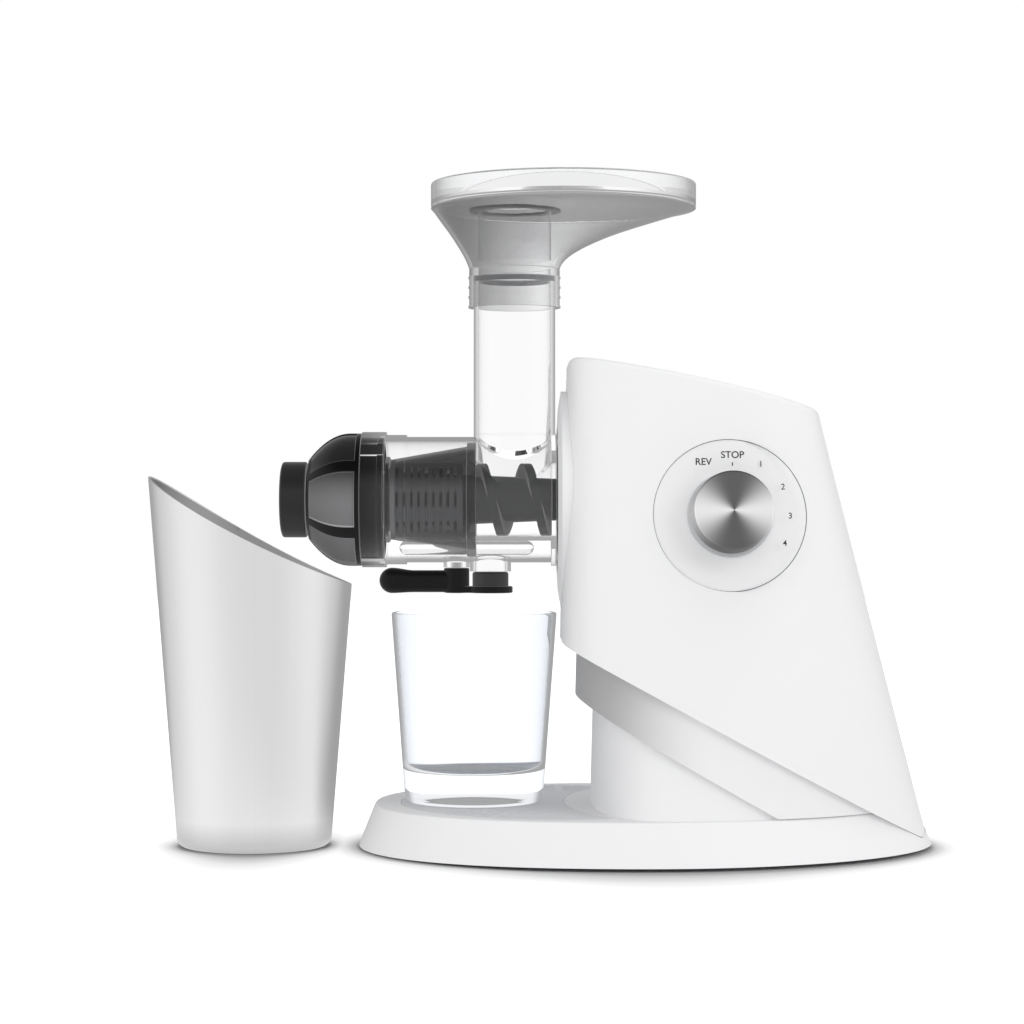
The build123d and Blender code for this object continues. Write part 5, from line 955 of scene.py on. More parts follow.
@dataclass
class Dial(Assembly):
    """Speed knob with its ring, and the printed words and numbers round it.

    Attributes:
        middle: Middle of the dial's face in millimetres.
        lean: How far the face leans back, in degrees.
        yaw: How far the face turns to the rear, in degrees.
        knob_radius: Radius of the knob.
        knob_bottom: Height of the knob's foot over the face.
        knob_top: Height of the knob's face.
        shaft_radius: Radius of the bore for the switch's shaft.
        shaft_top: Height of the bore's end.
        painted_shadow_radius: Radius of the painted shadow ring at the edge of the dial's recess in the cowl.
        labels: Each print's name, text, cap height and place on the face.
    """

    middle: Triple = (98.84, -71.9, 181.5)
    lean: float = 9.0
    yaw: float = 3.0
    knob_radius: float = 20.8
    knob_bottom: float = 2.4
    knob_top: float = 18.0
    shaft_radius: float = 3.05
    shaft_top: float = 16.0
    painted_shadow_radius: float = 40.3
    labels: tuple[tuple[str, str, float, float, float], ...] = (
        ("print_reverse", "REV", 3.7, -13.4, 28.3),
        ("print_stop", "STOP", 3.7, 2.0, 32.0),
        ("print_one", "1", 3.2, 16.9, 27.2),
        ("print_two", "2", 3.2, 28.3, 15.0),
        ("print_three", "3", 3.2, 31.8, -0.4),
        ("print_four", "4", 3.2, 28.6, -14.9),
    )

    def turning(self) -> Turning:
        """Returns the knob's axis, whose angle zero lies level on the face."""
        lean, yaw = math.radians(self.lean), math.radians(self.yaw)
        normal = (math.sin(yaw) * math.cos(lean), -math.cos(yaw) * math.cos(lean), math.sin(lean))
        return Turning(self.middle, normal, (1.0, math.tan(yaw), 0.0))

    def knob(self) -> bpy.types.Object:
        """Turns the knob: a bored bar with a rounded shoulder, a fine groove and a slightly hollow spun face."""
        edge = self.knob_radius
        face = np.linspace(edge - 1.0, 0.0, 40)
        low = self.knob_bottom
        rows = np.concatenate(
            [
                [[0.0, self.shaft_top], [self.shaft_radius, self.shaft_top], [self.shaft_radius, low]],
                [[edge - 0.8, low], [edge - 0.2, low + 0.5], [edge - 0.2, low + 1.4], [edge, low + 1.7]],
                [[edge, self.knob_top - 1.3]],
                arc((edge - 0.9, self.knob_top - 0.9), 0.9, 5, 85, 6),
                np.stack([face, self.knob_top - 0.35 * (1 - (face / (edge - 1.0)) ** 2)], 1),
            ]
        )
        return turned("speed_knob_spun", self.turning(), rows, 128, sharp=40.0)

    def label(self, name: str, text: str, height: float, across: float, up: float) -> bpy.types.Object:
        """Prints a word or number on the face, a hair above it.

        Args:
            name: Name of the piece.
            text: What is printed.
            height: Cap height in millimetres.
            across: Place along the face's level direction, in millimetres from its middle.
            up: Place up the face.

        Returns:
            The print as a mesh in its place.
        """
        curve = bpy.data.curves.new(name, "FONT")
        curve.body = text
        curve.size = height / 0.72 * MM
        curve.align_x = curve.align_y = "CENTER"
        curve.extrude = 0.00002
        curve.offset = 0.00005
        source = put(name + "_source", curve)
        bpy.context.view_layer.update()
        mesh = bpy.data.meshes.new_from_object(source)
        bpy.data.objects.remove(source)
        origin, level, rise, normal = self.turning().frame()
        place = Matrix(np.column_stack([level, rise, normal]).tolist()).to_4x4()
        place.translation = Vector((origin + level * across + rise * up + normal * 0.06) * MM)
        mesh.transform(place)
        mesh.name = name
        return put(name, mesh)

    def painted_recess_shadow(self) -> bpy.types.Object:
        """Turns a thin dark ring between the dial's face and the cowl, a painted shadow in the recess's edge."""
        ring = arc((self.painted_shadow_radius, 0.02), 0.22, 0, 360, 9)[:-1]
        return turned("dial_painted_shadow", self.turning(), ring, 192, close_rows=True, sharp=180.0)

    def mark(self) -> bpy.types.Object:
        """Prints the short line that shows where STOP is."""
        origin, level, rise, normal = self.turning().frame()
        half_width, half_length = 0.25, 0.9
        turns = ((-1, -1), (1, -1), (1, 1), (-1, 1))
        sides = [(1.9 + half_width * x, 27.2 + half_length * y) for x, y in turns]
        grid = np.array([[origin + level * x + rise * y + normal * out for x, y in sides] for out in (0.05, 0.09)])
        ends = [np.repeat(row.mean(0)[None], 4, 0)[None] for row in grid]
        return surface("print_mark", np.concatenate([ends[0], grid, ends[1]]), sharp=30.0)

    def build(self) -> None:
        """Builds the knob and the prints and dresses the switch."""
        self.add(self.knob(), KNOB_STEEL, "knob", "speed_knob")
        # The dark ring is a painted shadow at the recess's edge.
        self.add(self.painted_recess_shadow(), PAINTED_RECESS_SHADOW, "base", slot="white_shell")
        self.add(self.mark(), LABEL_INK, "base", slot="white_shell")
        for label in self.labels:
            self.add(self.label(*label), LABEL_INK, "base", slot="white_shell")
        self.dress(RING_PLASTIC, "knob_ring")
        self.dress(SWITCH_PLASTIC, "rotary_switch")
        self.dress(SHAFT_STEEL, "switch_shaft")
        self.dress(SCREW_STEEL, "switch_nut")


@dataclass
class PressHead(Assembly):
    """Drum with its feed tube, screen and auger.

    Attributes:
        axis_height: Height of the drum's axis.
        screen_front: X of the screen's front.
        screen_rear: X of the screen's rear.
        screen_radii: Outer radius of the screen at its front and rear.
        screen_wall: Thickness of the screen's skin.
        flange: Radius of the flange at its rear.
        channel: X of the juice channel's two ends.
        channel_height: Height of its middle.
    """

    axis_height: float = 190.0
    screen_front: float = -84.2
    screen_rear: float = -36.4
    screen_radii: tuple[float, float] = (22.0, 29.2)
    screen_wall: float = 1.6
    flange: float = 31.4
    channel: tuple[float, float] = (-77.0, -3.0)
    channel_height: float = 163.6

    def turning(self) -> Turning:
        """Returns the drum's axis; heights grow along X and angle zero faces the user."""
        return Turning((0.0, 0.0, self.axis_height), (1.0, 0.0, 0.0), (0.0, -1.0, 0.0))

    def screen(self) -> bpy.types.Object:
        """Turns the screen's smoke skin: a cone that widens to the rear, with a ring at either end."""
        front, rear = self.screen_front, self.screen_rear
        small, large = self.screen_radii
        thin = self.screen_wall
        rows = np.array(
            [
                [small - thin, front], [small + 1.6, front], [small + 1.6, front + 2.0], [small, front + 2.8],
                [large, rear - 3.4], [self.flange, rear - 3.2], [self.flange, rear + 1.6], [large - thin, rear + 1.6],
                [large - thin, rear - 4.0], [small - thin, front + 2.8],
            ]
        )
        return turned("screen_cone", self.turning(), rows, 128, close_rows=True, sharp=25.0)

    def trough(self) -> bpy.types.Object:
        """Lofts the juice channel under the chamber, a clear bar with round ends."""
        start, end = self.channel
        ease = 4 * np.sin(np.radians(np.linspace(0, 90, 8)))
        along = np.concatenate([start + ease, [start + 8], np.linspace(start + 12, end - 12, 6), end - ease[::-1]])
        size = np.clip(np.minimum(along - start, end - along) / 4, 0.02, 1)
        swell = np.sqrt(1 - (1 - size) ** 2)
        middle = np.stack([0 * along, self.channel_height + 0 * along], 1)
        return loft("drum_channel", along, middle, 10.0 * swell, 3.7 * swell, power=3.0)

    def build(self) -> None:
        """Builds and dresses the press head."""
        self.dress(CLEAR_PLASTIC, "drum", "feed_tube")
        self.add(self.trough(), CLEAR_PLASTIC, "drum")
        self.add(self.screen(), SCREEN_SMOKE, "drum", "screen_frame", slot="smoke_plastic")
        self.dress(MESH_STEEL, "screen_mesh")
        self.dress(AUGER_PLASTIC, "auger")
        self.dress(SEAL_RUBBER, "drum_seal", "auger_seal")


@dataclass
class EndCap(Assembly):
    """Bayonet cap and pulp nozzle.

    Attributes:
        axis_height: Height of the cap's axis.
        rear: Distance of the cap's rear from the origin, against X.
        ring: Length of its ring.
        dome: Length of its dome.
        radius: Radius of the ring.
        nose: Radius of the nose.
        skirt: Radius, wall and length of the skirt inside the collar.
        mouth: Distance of the mouth against X.
        bore: Radius of the hole for the nozzle.
        depth: Depth of the six panels.
        nozzle: Rear and front of the nozzle against X, and its radius.
    """

    axis_height: float = 190.0
    rear: float = 97.56
    ring: float = 6.0
    dome: float = 23.0
    radius: float = 36.4
    nose: float = 22.0
    skirt: Triple = (34.0, 2.6, 12.4)
    mouth: float = 127.36
    bore: float = 13.4
    depth: float = 1.0
    nozzle: Triple = (127.76, 141.76, 20.8)

    def turning(self) -> Turning:
        """Returns the cap's axis; heights grow against X and angle zero faces the user."""
        return Turning((0.0, 0.0, self.axis_height), (-1.0, 0.0, 0.0), (0.0, -1.0, 0.0))

    def cap(self) -> bpy.types.Object:
        """Turns the cap: skirt, ring and dome with six sunk panels, nose, mouth and the hollow inside.

        The dome's radius falls from the ring to the nose as one minus the share of its length to the power 2.05.
        A panel lies in the middle 48 degrees of each sixth of a turn, from half the ring to the nose, with a steep,
        short step round it.
        """
        columns = 360
        angle = np.linspace(0, 2 * math.pi, columns, endpoint=False)
        share = np.concatenate(
            [
                [-0.16, -0.14, -0.12, -0.1, -0.05, 0.0], np.linspace(0.06, 0.12, 4), np.linspace(0.16, 0.84, 18),
                np.linspace(0.88, 0.95, 4), [1.0],
            ]
        )
        dome_r = self.radius - (self.radius - self.nose) * np.clip(share, 0, 1) ** 2.05
        dome_x = self.rear + self.ring + self.dome * share
        away = np.abs((angle / math.radians(60) + 0.5) % 1 - 0.5)
        half_width, step = 0.415, 0.02
        lengthways = np.clip(np.minimum(share + 0.16, 0.945 - share) / step, 0, 1)
        inside = np.clip((half_width - away) / step, 0, 1)[None] * lengthways[:, None]
        outer, wall, length = self.skirt
        back, front = self.rear - length, self.rear + self.ring + self.dome
        start = np.array([[outer - wall, back], [outer, back], [outer, self.rear], [self.radius, self.rear]])
        hub = self.bore + 4.2
        finish = np.array(
            [
                [hub, front], [hub, self.mouth], [self.bore, self.mouth], [self.bore, front - wall],
                [self.nose - wall, front - 2 * wall], [outer - wall, self.rear + self.ring],
            ]
        )
        flat = np.ones((1, columns))
        radii = np.concatenate([start[:, :1] * flat, dome_r[:, None] - self.depth * inside, finish[:, :1] * flat])
        heights = np.concatenate([start[:, 1:] * flat, dome_x[:, None] * flat, finish[:, 1:] * flat])
        return surface("end_cap_panelled", self.turning().sweep(radii, heights, columns), close_rows=True, sharp=32.0)

    def pulp_nozzle(self) -> bpy.types.Object:
        """Turns the nozzle: a short drum with a slightly domed, dished face, and the tube behind it."""
        rear, front, radius = self.nozzle
        rows = np.concatenate(
            [
                [[9.0, rear - 9.0], [13.0, rear - 9.0], [13.0, rear], [radius - 0.6, rear], [radius, rear + 0.6]],
                arc((radius - 1.5, front - 1.9), 1.5, 0, 80, 5),
                [[18.2, front], [9.0, rear]],
            ]
        )
        return turned("pulp_nozzle_turned", self.turning(), rows, 160, close_rows=True, sharp=32.0)

    def build(self) -> None:
        """Builds and dresses the cap and the nozzle."""
        self.add(self.cap(), DARK_SMOKE, "end_cap", "end_cap")
        self.add(self.pulp_nozzle(), NOZZLE_SMOKE, "nozzle", "pulp_nozzle", slot="dark_smoke")
        self.dress(SEAL_RUBBER, "nozzle_seal")


@dataclass
class SpoutLever(Assembly):
    """The lever that shuts the juice spout.

    Attributes:
        tip: X of the bulb's end.
        bulb: Radius of the bulb.
        middle: Height of the handle's middle.
        hub: X, radius, bottom and top of the hub.
        disc: X, radius, bottom and top of the disc under the spout.
    """

    tip: float = -88.0
    bulb: float = 7.0
    middle: float = 145.6
    hub: tuple[float, float, float, float] = (-45.56, 7.0, 138.8, 152.4)
    disc: tuple[float, float, float, float] = (-26.96, 12.2, 138.8, 142.4)

    @staticmethod
    def puck(name: str, x: float, radius: float, low: float, high: float) -> bpy.types.Object:
        """Turns an upright disc with rounded edges.

        Args:
            name: Name of the disc.
            x: X of its middle.
            radius: Its radius.
            low: Height of its bottom.
            high: Height of its top.

        Returns:
            The new object.
        """
        edge = 0.7
        under = arc((radius - edge, low + edge), edge, -90, 0, 5)
        over = arc((radius - edge, high - edge), edge, 0, 90, 5)
        rows = np.concatenate([[[0.0, low]], under, over, [[0.0, high]]])
        return turned(name, Turning((x, 0.0, 0.0)), rows, 96, sharp=40.0)

    def lever(self) -> bpy.types.Object:
        """Joins the handle with its round bulb, the hub, the disc and the bar between them."""
        centre = self.tip + self.bulb
        turn = np.radians(np.linspace(180, 90, 14))
        along = np.concatenate([centre + self.bulb * np.cos(turn), np.linspace(centre + 2, self.hub[0], 24)])
        past = np.clip((along - centre) / 12, 0, 1)
        ease = past * past * (3 - 2 * past)
        swell = np.where(along < centre, np.sqrt(np.clip(1 - ((along - centre) / self.bulb) ** 2, 0.0004, 1)), 1.0)
        height = self.bulb * swell - 0.95 * ease
        width = (7.4 - 1.9 * ease) * swell
        middle = np.stack([0 * along, self.middle - 0.45 * ease], 1)
        handle = loft("lever_handle", along, middle, width, height, power=2.5)
        bar_x = np.linspace(self.hub[0], self.disc[0], 12)
        low, high = self.disc[2], self.disc[3]
        bar_mid = np.stack([0 * bar_x, 0 * bar_x + (low + high) / 2], 1)
        bar = loft("lever_bar", bar_x, bar_mid, 0 * bar_x + 6.4, 0 * bar_x + (high - low) / 2, power=8.0)
        hub, disc = self.puck("lever_hub", *self.hub), self.puck("lever_disc", *self.disc)
        return join("spout_lever_smooth", handle, bar, hub, disc)

    def build(self) -> None:
        """Builds and dresses the lever."""
        self.add(self.lever(), LEVER_PLASTIC, "lever", "spout_lever")
        self.dress(SEAL_BLACK, "spout_seal")
        self.dress(SCREW_STEEL, "lever_pin")


@dataclass
class Hopper(Assembly):
    """Funnel and dish on the feed tube.

    Attributes:
        dish_x: X of the dish's middle.
        dish_radius: Radius of the dish.
        low: Height of the dish's underside.
        high: Height of its rim.
        wall: Thickness of its walls.
        hole_x: X of the chute's middle.
        hole: Inner radius of the chute.
        collar: Outer radius of the ring round the chute.
    """

    dish_x: float = 13.14
    dish_radius: float = 72.8
    low: float = 350.2
    high: float = 363.6
    wall: float = 2.2
    hole_x: float = -13.76
    hole: float = 18.0
    collar: float = 25.0

    def dish(self) -> bpy.types.Object:
        """Builds the dish: circles that go from the chute's collar out to the rim, up it and back over the floor.

        Each row is a circle with its own middle, radius and height; the middles go from the chute's to the dish's.
        """
        half = self.wall / 2
        rim_r = self.dish_radius - half
        rim = arc((rim_r, self.high - half), half, 0, 180, 7)
        chute, floor, inner = self.hole_x, self.low + self.wall, self.dish_radius - self.wall
        hole = [[chute, self.hole, floor], [chute, self.hole, self.low], [chute, self.collar, self.low]]
        skirt = [[self.dish_x, self.dish_radius - 1.0, self.low], [self.dish_x, self.dish_radius, self.low + 1.0]]
        back = [[self.dish_x, inner, floor + 1.5], [self.dish_x, inner - 1.5, floor]]
        rows = np.array(hole + skirt + [[self.dish_x, r, z] for r, z in rim] + back)
        angle = np.linspace(0, 2 * math.pi, 192, endpoint=False)
        x = rows[:, :1] + rows[:, 1:2] * np.cos(angle)
        y = rows[:, 1:2] * np.sin(angle)
        return surface("hopper_dish_clear", np.stack([x, y, rows[:, 2:] + 0 * x], 2), close_rows=True, sharp=40.0)

    def ring(self) -> bpy.types.Object:
        """Turns the dark ring under the dish, round the chute."""
        outer, under, over = self.collar + 0.3, self.low - 1.4, self.low - 0.1
        rows = np.array([[self.hole, under], [outer, under], [outer, over], [self.hole, over]])
        return turned("hopper_ring", Turning((self.hole_x, 0.0, 0.0)), rows, 128, close_rows=True, sharp=30.0)

    def chute(self) -> bpy.types.Object:
        """Turns the thin chute that hangs from the dish into the neck."""
        outer, inner, foot, top = self.hole + 2.0, self.hole + 1.4, 321.0, self.low - 1.6
        rows = np.array([[outer, foot], [outer, top], [inner, top], [inner, foot]])
        return turned("hopper_chute_clear", Turning((self.hole_x, 0.0, 0.0)), rows, 128, close_rows=True, sharp=40.0)

    def build(self) -> None:
        """Builds the dish with its chute and dresses the funnel."""
        self.dress(SMOKE_PLASTIC, "hopper_funnel")
        self.add(self.dish(), DISH_SMOKE, "hopper_dish", "hopper_tray", slot="smoke_plastic")
        self.add(self.ring(), RING_SMOKE, "hopper_dish", slot="smoke_plastic")
        self.add(self.chute(), CHUTE_CLEAR, "hopper_dish", slot="smoke_plastic")
        self.dress(SEAL_RUBBER, "hopper_seal")


@dataclass
class PulpCup(Assembly):
    """Steel cup with a slanted rim.

    Attributes:
        middle: Middle of the cup's foot in millimetres.
        radius: Radius at the table.
        flare: Growth of the radius for each millimetre of height.
        wall: Thickness of the sheet.
        foot: Radius of the round foot.
        heights: Height of the rim at its tip, over the middle, and at its lip.
        twist: How far the lip is turned to the user, in degrees, over the middle.
    """

    middle: Triple = (-156.76, 0.0, 0.0)
    radius: float = 42.0
    flare: float = 0.0794
    wall: float = 1.0
    foot: float = 5.0
    heights: Triple = (202.5, 167.5, 143.5)
    twist: float = -2.5

    def rim(self, reach: Grid) -> Grid:
        """Height of the rim by distance from the middle: the parabola through tip, middle and lip."""
        tip, centre, lip = self.heights
        tip_radius, lip_radius = self.radius + self.flare * tip, self.radius + self.flare * lip
        tip_slope, lip_slope = (centre - tip) / tip_radius, (lip - centre) / lip_radius
        sag = (lip_slope - tip_slope) / (lip_radius + tip_radius)
        return centre + reach * (lip_slope + sag * (reach - lip_radius))

    def wall_grid(self, inset: float, bottom: float, columns: int, rows: int) -> tuple[Grid, Grid]:
        """Radii and heights of one face of the wall, from a height up to the rim.

        The radius is the foot radius plus flare times height, less the inset. The rim's height at an angle is
        found by putting the radius into the rim's curve a few times over, with a twist that grows to the tip.

        Args:
            inset: Distance inside the outer face.
            bottom: Height of the first row.
            columns: Number of angles.
            rows: Number of rows.

        Returns:
            Radii and heights by row and column.
        """
        angle = np.linspace(0, 2 * math.pi, columns, endpoint=False)
        top = np.full(columns, self.heights[1])
        turn = np.full(columns, self.twist)
        for _ in range(16):
            reach = (self.radius + self.flare * top - inset) * np.cos(angle + np.radians(turn))
            turn = self.twist - 0.05 * reach
            top = self.rim(reach)
        share = np.linspace(0, 1, rows)[:, None]
        heights = bottom + (top[None] - bottom) * share
        return self.radius + self.flare * heights - inset, heights

    def cup(self) -> bpy.types.Object:
        """Builds the cup: outer foot and wall, a rolled rim, and the inner wall and floor in one closed skin."""
        columns = 192
        foot_slope = math.degrees(math.atan(self.flare))
        rise = self.foot
        foot = arc((self.radius + self.flare * rise - self.foot, rise), self.foot, -90, -foot_slope, 8)
        outer_r, outer_z = self.wall_grid(0.0, rise + 0.4, columns, 48)
        inner_r, inner_z = self.wall_grid(self.wall, self.wall + 3.0, columns, 48)
        half = self.wall / 2
        roll = np.radians(np.linspace(20, 160, 6))[:, None]
        rim_r = outer_r[-1] - half + half * np.cos(roll)
        rim_z = outer_z[-1] - half * 0.6 + half * np.sin(roll) * 1.2
        inside = np.array([[2.6, 1.2], [5.0, 0.3], [9.0, 0.0]]) * (-1, 1) + (self.radius, self.wall)
        flat = np.ones((1, columns))
        radii = np.concatenate([[[0.0]], foot[:, :1]]) * flat
        heights = np.concatenate([[[0.0]], foot[:, 1:]]) * flat
        radii = np.concatenate([radii, outer_r, rim_r, inner_r[::-1], inside[:, :1] * flat, 0 * flat])
        heights = np.concatenate([heights, outer_z, rim_z, inner_z[::-1], inside[:, 1:] * flat, self.wall * flat])
        return surface("pulp_cup_brushed", Turning(self.middle).sweep(radii, heights, columns), sharp=50.0)

    def build(self) -> None:
        """Builds and dresses the cup."""
        self.add(self.cup(), CUP_STEEL, "pulp_cup", "pulp_cup")


@dataclass
class JuiceGlass(Assembly):
    """Tumbler with a thick foot.

    Attributes:
        middle: Middle of the glass's foot in millimetres.
        foot_radius: Outer radius at the foot.
        rim_radius: Outer radius at the rim.
        height: Height of the glass.
        wall: Thickness of the wall.
        floor: Thickness of the foot.
    """

    middle: Triple = (-35.96, 0.0, 24.3)
    foot_radius: float = 37.8
    rim_radius: float = 45.5
    height: float = 103.9
    wall: float = 2.4
    floor: float = 17.0

    def tumbler(self) -> bpy.types.Object:
        """Turns the tumbler: domed underside, leaning wall, round rim, and a round-cornered inside over the foot."""
        lean = (self.rim_radius - self.foot_radius) / self.height
        under = np.linspace(0, self.foot_radius - 5.0, 10)
        outer = np.linspace(3.4, self.height - 1.4, 30)
        half = self.wall / 2
        inner = np.linspace(self.height - 1.4, self.floor + 6.0, 30)
        base = self.foot_radius + lean * self.floor - self.wall - 6.0
        floor = np.linspace(base - 0.5, 0, 10)
        rows = np.concatenate(
            [
                np.stack([under, 0.9 * (1 - (under / (self.foot_radius - 5.0)) ** 4)], 1),
                arc((self.foot_radius - 3.2, 3.2), 3.2, -80, -8, 7),
                np.stack([self.foot_radius + lean * outer, outer], 1),
                arc((self.rim_radius - half - 0.1, self.height - half), half, 10, 170, 7),
                np.stack([self.foot_radius + lean * inner - self.wall, inner], 1),
                arc((base + 0.4, self.floor + 6.0), 6.0, -8, -86, 8),
                np.stack([floor, self.floor + 0.0 * floor], 1),
            ]
        )
        return turned("juice_glass_clear", Turning(self.middle), rows, 160, sharp=60.0)

    def build(self) -> None:
        """Builds and dresses the tumbler."""
        self.add(self.tumbler(), CLEAR_GLASS, "glass", "juice_glass")


class Drive(Assembly):
    """Motor, gears, chassis and control board inside the housing."""

    def build(self) -> None:
        """Dresses the hidden nodes."""
        self.dress(FRAME_STEEL, "chassis_frame")
        self.dress(CASE_ALLOY, "gearbox_front", "gearbox_rear", "motor_bells")
        self.dress(SCREW_STEEL, "gearbox_screws")
        self.dress(SHAFT_STEEL, "gear_axles", "output_shaft", "rotor")
        self.dress(BEARING_BRONZE, "output_bearings", "motor_bearings")
        self.dress(GEAR_STEEL, "motor_pinion", "second_gear", "output_gear")
        self.dress(GEAR_NYLON, "first_gear")
        self.dress(CAN_STEEL, "motor_can")
        self.dress(WINDING_COPPER, "stator")
        self.dress(FAN_PLASTIC, "cooling_fan")
        self.dress(SEAL_RUBBER, "motor_cushion")
        self.dress(BOARD_GREEN, "control_board")
        self.dress(COMPONENT_PLASTIC, "board_components")


# ---------------------------------------------------------------------------
# Studio
# ---------------------------------------------------------------------------


@dataclass(frozen=True)
class Lamp:
    """A soft square lamp.

    Attributes:
        name: Name of the lamp.
        place: Where it hangs, in metres.
        size: Side of its face, in metres.
        power: Power in watts.
    """

    name: str
    place: Triple
    size: float
    power: float


@dataclass
class Studio:
    """Camera, white surroundings and lamps.

    Attributes:
        camera_place: Where the camera stands, in metres.
        lens: Focal length in millimetres.
        target: What the lamps point at, in metres.
        lamps: The lamps.
        mirror_stops: What mirrors see, from the camera's side to the back.
        through_stops: What is seen through clear pieces, likewise.
        painted_shadow_stops: Glow of the floor by distance from the object, as shares of the glow's reach; low near
            it: painted shadow.
        painted_shadow_reach: Distance in metres at which the floor glows in full.
        painted_shadow_footprints: X, half length and half depth of base and cup on the floor, in metres, where the
            shadow is painted.
        ceiling: Upward share of a direction where mirrors start to see the ceiling and where they see nothing
            else, and the ceiling's grey.
        level: Brightness of the light that everything else gets, and how much more comes from the right.
        matt: The floor's grey for light that bounces, and what the camera sees less of it.
    """

    camera_place: Triple = (-0.0151, -1.4476, 0.1832)
    lens: float = 92.5
    target: Triple = (0.03, 0.0, 0.15)
    lamps: tuple[Lamp, ...] = (
        Lamp("lamp_right", (1.35, -1.25, 1.0), 1.1, 7.5),
        Lamp("lamp_left", (-1.5, -1.1, 0.7), 0.9, 6.0),
        Lamp("lamp_top", (0.25, -0.1, 1.9), 1.5, 6.0),
    )
    mirror_stops: tuple[tuple[float, float], ...] = (
        (0.0, 0.86), (0.043, 0.82), (0.2, 1.04), (0.41, 1.04), (0.638, 0.82), (0.78, 0.7), (0.894, 0.42), (1.0, 0.4),
    )
    through_stops: tuple[tuple[float, float], ...] = (
        (0.0, 0.8), (0.3, 0.95), (0.55, 0.8), (0.75, 0.3), (0.93, 0.45), (0.965, 1.0),
    )
    painted_shadow_stops: tuple[tuple[float, float], ...] = (
        (0.0, 0.0), (0.07, 0.06), (0.15, 0.24), (0.22, 0.33), (0.3, 0.42), (0.4, 0.54), (0.6, 0.66), (0.8, 0.75),
        (1.0, 0.9),
    )
    painted_shadow_reach: float = 0.1
    painted_shadow_footprints: tuple[Triple, ...] = ((0.05804, 0.1555, 0.1105), (-0.15676, 0.0405, 0.0405))
    ceiling: Triple = (0.45, 0.8, 0.35)
    level: tuple[float, float] = (0.74, 0.04)
    matt: tuple[float, float] = (0.8, 0.45)

    def camera(self) -> None:
        """Sets up the camera, level and looking along Y."""
        data = bpy.data.cameras.new("camera")
        data.lens = self.lens
        data.sensor_width = 36.0
        data.clip_start = 0.01
        camera = put("camera", data)
        camera.location = self.camera_place
        camera.rotation_euler = (math.pi / 2, 0.0, 0.0)
        bpy.context.scene.camera = camera

    @staticmethod
    def ramp(wiring: Wiring, share: Socket, stops: tuple[tuple[float, float], ...]) -> Socket:
        """Adds a ramp of greys.

        Args:
            wiring: Where it goes.
            share: Socket of the place along it.
            stops: Place and brightness of each stop.

        Returns:
            The colour's socket.
        """
        ramp = wiring.node("ShaderNodeValToRGB", {0: share})
        while len(ramp.color_ramp.elements) < len(stops):
            ramp.color_ramp.elements.new(0.5)
        for element, (place, value) in zip(ramp.color_ramp.elements, stops):
            element.position = place
            element.color = (value, value, value, 1.0)
        return ramp.outputs[0]

    @staticmethod
    def behind(wiring: Wiring, place: Socket) -> Socket:
        """Gives 0 towards the camera and 1 away from it, from the level part of a direction or place."""
        east, north = wiring.part(place, 0), wiring.part(place, 1)
        squares = wiring.math("ADD", wiring.math("POWER", east, 2.0), wiring.math("POWER", north, 2.0))
        length = wiring.math("MAXIMUM", wiring.math("SQRT", squares), 0.001)
        return wiring.math("MULTIPLY_ADD", wiring.math("DIVIDE", north, length), 0.5, 0.5)

    def surroundings(self) -> None:
        """Lights the world: white to look at, a ramp from front to back in mirrors, and level light for the rest."""
        world = bpy.data.worlds.new("studio")
        bpy.context.scene.world = world
        world.use_nodes = True
        world.node_tree.nodes.clear()
        wiring = Wiring(world.node_tree)
        direction = wiring.chart("Generated")
        back = self.behind(wiring, direction)
        start, end, grey = self.ceiling
        high = wiring.span(wiring.part(direction, 2), start, end)
        mirrored = wiring.blend(high, self.ramp(wiring, back, self.mirror_stops), (grey, grey, grey, 1.0))
        through = self.ramp(wiring, back, self.through_stops)
        level, more = self.level
        soft = wiring.grey(wiring.math("MULTIPLY_ADD", wiring.part(direction, 0), more, level))
        path = wiring.node("ShaderNodeLightPath")
        seen = wiring.blend(path.outputs["Is Glossy Ray"], soft, mirrored)
        seen = wiring.blend(path.outputs["Is Transmission Ray"], seen, through)
        colour = wiring.blend(path.outputs["Is Camera Ray"], seen, WHITE)
        background = wiring.node("ShaderNodeBackground", {"Color": colour, "Strength": 1.0})
        wiring.node("ShaderNodeOutputWorld", {"Surface": background.outputs[0]})

    def painted_shadow_gap(self, wiring: Wiring, place: Socket) -> Socket:
        """Gives the distance in metres, for the floor's painted shadow, from the outline of the nearer of base and
        cup, and less than 0 inside.

        A place is measured from an outline's middle and scaled so that the outline is a circle of radius one. The
        gap is the scaled length less one, times half the depth, and times one plus five times the square of the
        scaled direction's X, so that shadows stay short to the left and right.
        """
        gaps = []
        for x, half_length, half_depth in self.painted_shadow_footprints:
            moved = wiring.vector("ADD", place, (-x, 0.0, 0.0)).outputs[0]
            scaled = wiring.vector("MULTIPLY", moved, (1 / half_length, 1 / half_depth, 0.0)).outputs[0]
            length = wiring.vector("LENGTH", scaled).outputs["Value"]
            gap = wiring.math("MULTIPLY", wiring.math("SUBTRACT", length, 1.0), half_depth)
            aside = wiring.math("DIVIDE", wiring.part(scaled, 0), wiring.math("MAXIMUM", length, 0.001))
            faster = wiring.math("MULTIPLY_ADD", wiring.math("POWER", aside, 2.0), 5.0, 1.0)
            gaps.append(wiring.math("MULTIPLY", gap, faster))
        return wiring.math("MINIMUM", *gaps)

    @staticmethod
    def bare(wiring: Wiring) -> Socket:
        """Gives 1 where nothing stands near the floor, so that no painted shadow stays behind where a piece has moved
        away.
        """
        near = wiring.node("ShaderNodeAmbientOcclusion", {"Distance": 0.12}, samples=16).outputs["AO"]
        return wiring.span(near, 0.93, 1.0, way="SMOOTHSTEP")

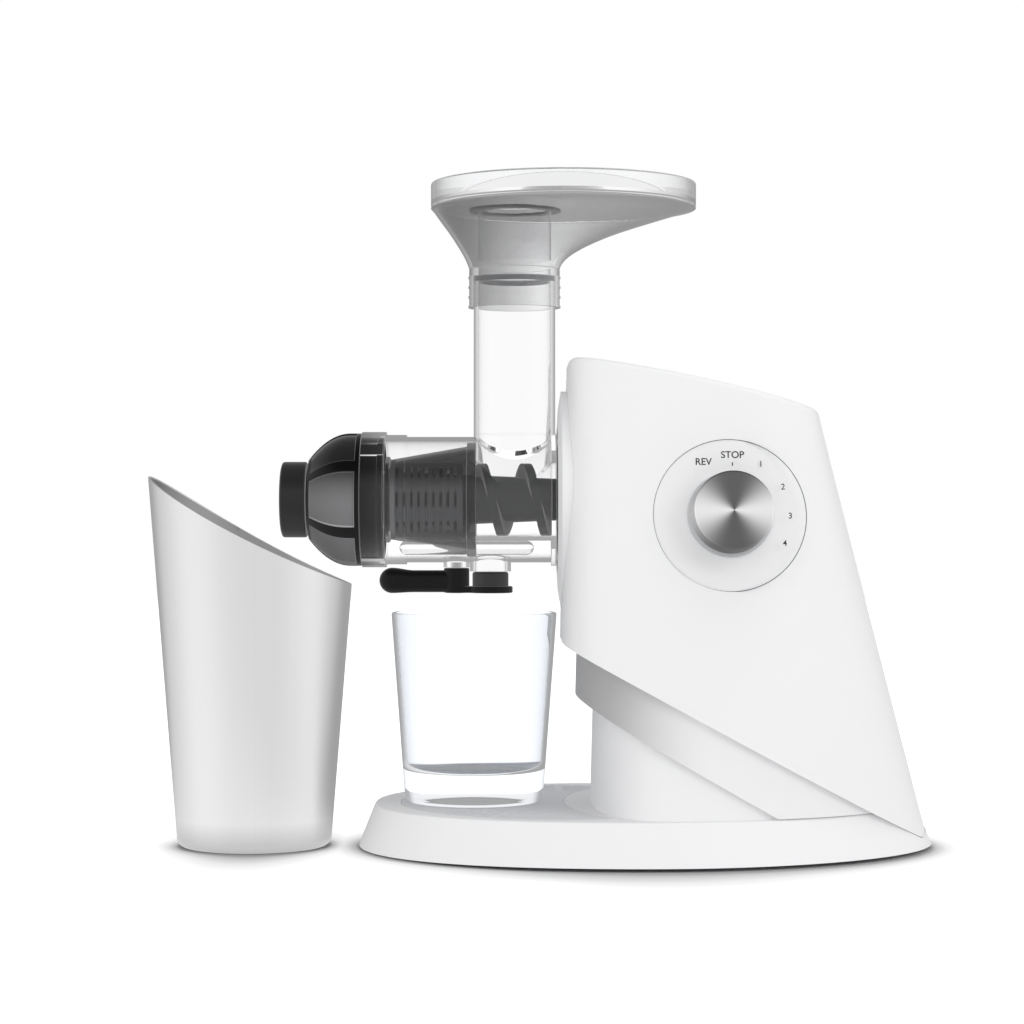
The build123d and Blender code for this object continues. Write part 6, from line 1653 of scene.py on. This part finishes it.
    def floor(self) -> None:
        """Lays a white floor: matt white, with a glow away from the object and a painted shadow where the glow is low
        near it.

        Mirrors see the world's ramp go on over the floor, by the floor's own coordinates.
        """
        mesh = bpy.data.meshes.new("floor")
        reach, height = 4.0, -0.0001
        sides = ((-reach, -reach), (reach, -reach), (reach, reach), (-reach, reach))
        mesh.from_pydata([(x, y, height) for x, y in sides], [], [(0, 1, 2, 3)])
        floor = put("floor", mesh)
        material = bpy.data.materials.new("floor_white")
        material.use_nodes = True
        material.node_tree.nodes.clear()
        wiring = Wiring(material.node_tree)
        path = wiring.node("ShaderNodeLightPath").outputs
        direct = wiring.math("MAXIMUM", path["Is Camera Ray"], path["Is Transmission Ray"])
        bounced, less = self.matt
        shade = wiring.grey(wiring.math("MULTIPLY_ADD", direct, -less, bounced))
        matt = wiring.node("ShaderNodeBsdfDiffuse", {"Color": shade})
        place = wiring.chart()
        # The low glow near base and cup at rest is a painted shadow, on top of the matt floor's real shadow.
        painted_shadow_glow = self.ramp(wiring, wiring.span(self.painted_shadow_gap(wiring, place), 0.0, self.painted_shadow_reach), self.painted_shadow_stops)
        painted_shadow_glow = wiring.blend(self.bare(wiring), painted_shadow_glow, WHITE)
        glow = wiring.node("ShaderNodeEmission", {"Color": painted_shadow_glow, "Strength": direct})
        both = wiring.node("ShaderNodeAddShader", {0: matt.outputs[0], 1: glow.outputs[0]})
        ramp = self.ramp(wiring, self.behind(wiring, place), self.mirror_stops)
        mirrored = wiring.node("ShaderNodeEmission", {"Color": ramp})
        bounces = wiring.math("SUBTRACT", 1.0, path["Is Transmission Ray"])
        only = wiring.math("MULTIPLY", path["Is Glossy Ray"], bounces)
        mixed = wiring.node("ShaderNodeMixShader", {0: only, 1: both.outputs[0], 2: mirrored.outputs[0]})
        Shop.close(wiring, mixed.outputs[0])
        mesh.materials.append(material)

    def light(self) -> None:
        """Hangs the lamps, each turned to the object."""
        for lamp in self.lamps:
            data = bpy.data.lights.new(lamp.name, "AREA")
            data.shape = "SQUARE"
            data.size = lamp.size
            data.energy = lamp.power
            hung = put(lamp.name, data)
            hung.location = lamp.place
            hung.visible_glossy = False
            hung.rotation_euler = (Vector(self.target) - Vector(lamp.place)).to_track_quat("-Z", "Y").to_euler()

    def build(self) -> None:
        """Sets up the whole studio."""
        bpy.context.scene.view_settings.view_transform = "Standard"
        self.camera()
        self.surroundings()
        self.floor()
        self.light()
        log.info("set up the studio")


def main() -> None:
    """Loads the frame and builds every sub-assembly in order."""
    logging.basicConfig(level=logging.INFO, format="%(name)s: %(message)s")
    for thing in list(bpy.data.objects):
        bpy.data.objects.remove(thing)
    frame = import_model()
    Studio().build()
    shop = Shop()
    for assembly in (Stand, Housing, Dial, PressHead, EndCap, SpoutLever, Hopper, PulpCup, JuiceGlass, Drive):
        assembly(frame, shop).build()


if __name__ == "__main__":
    main()
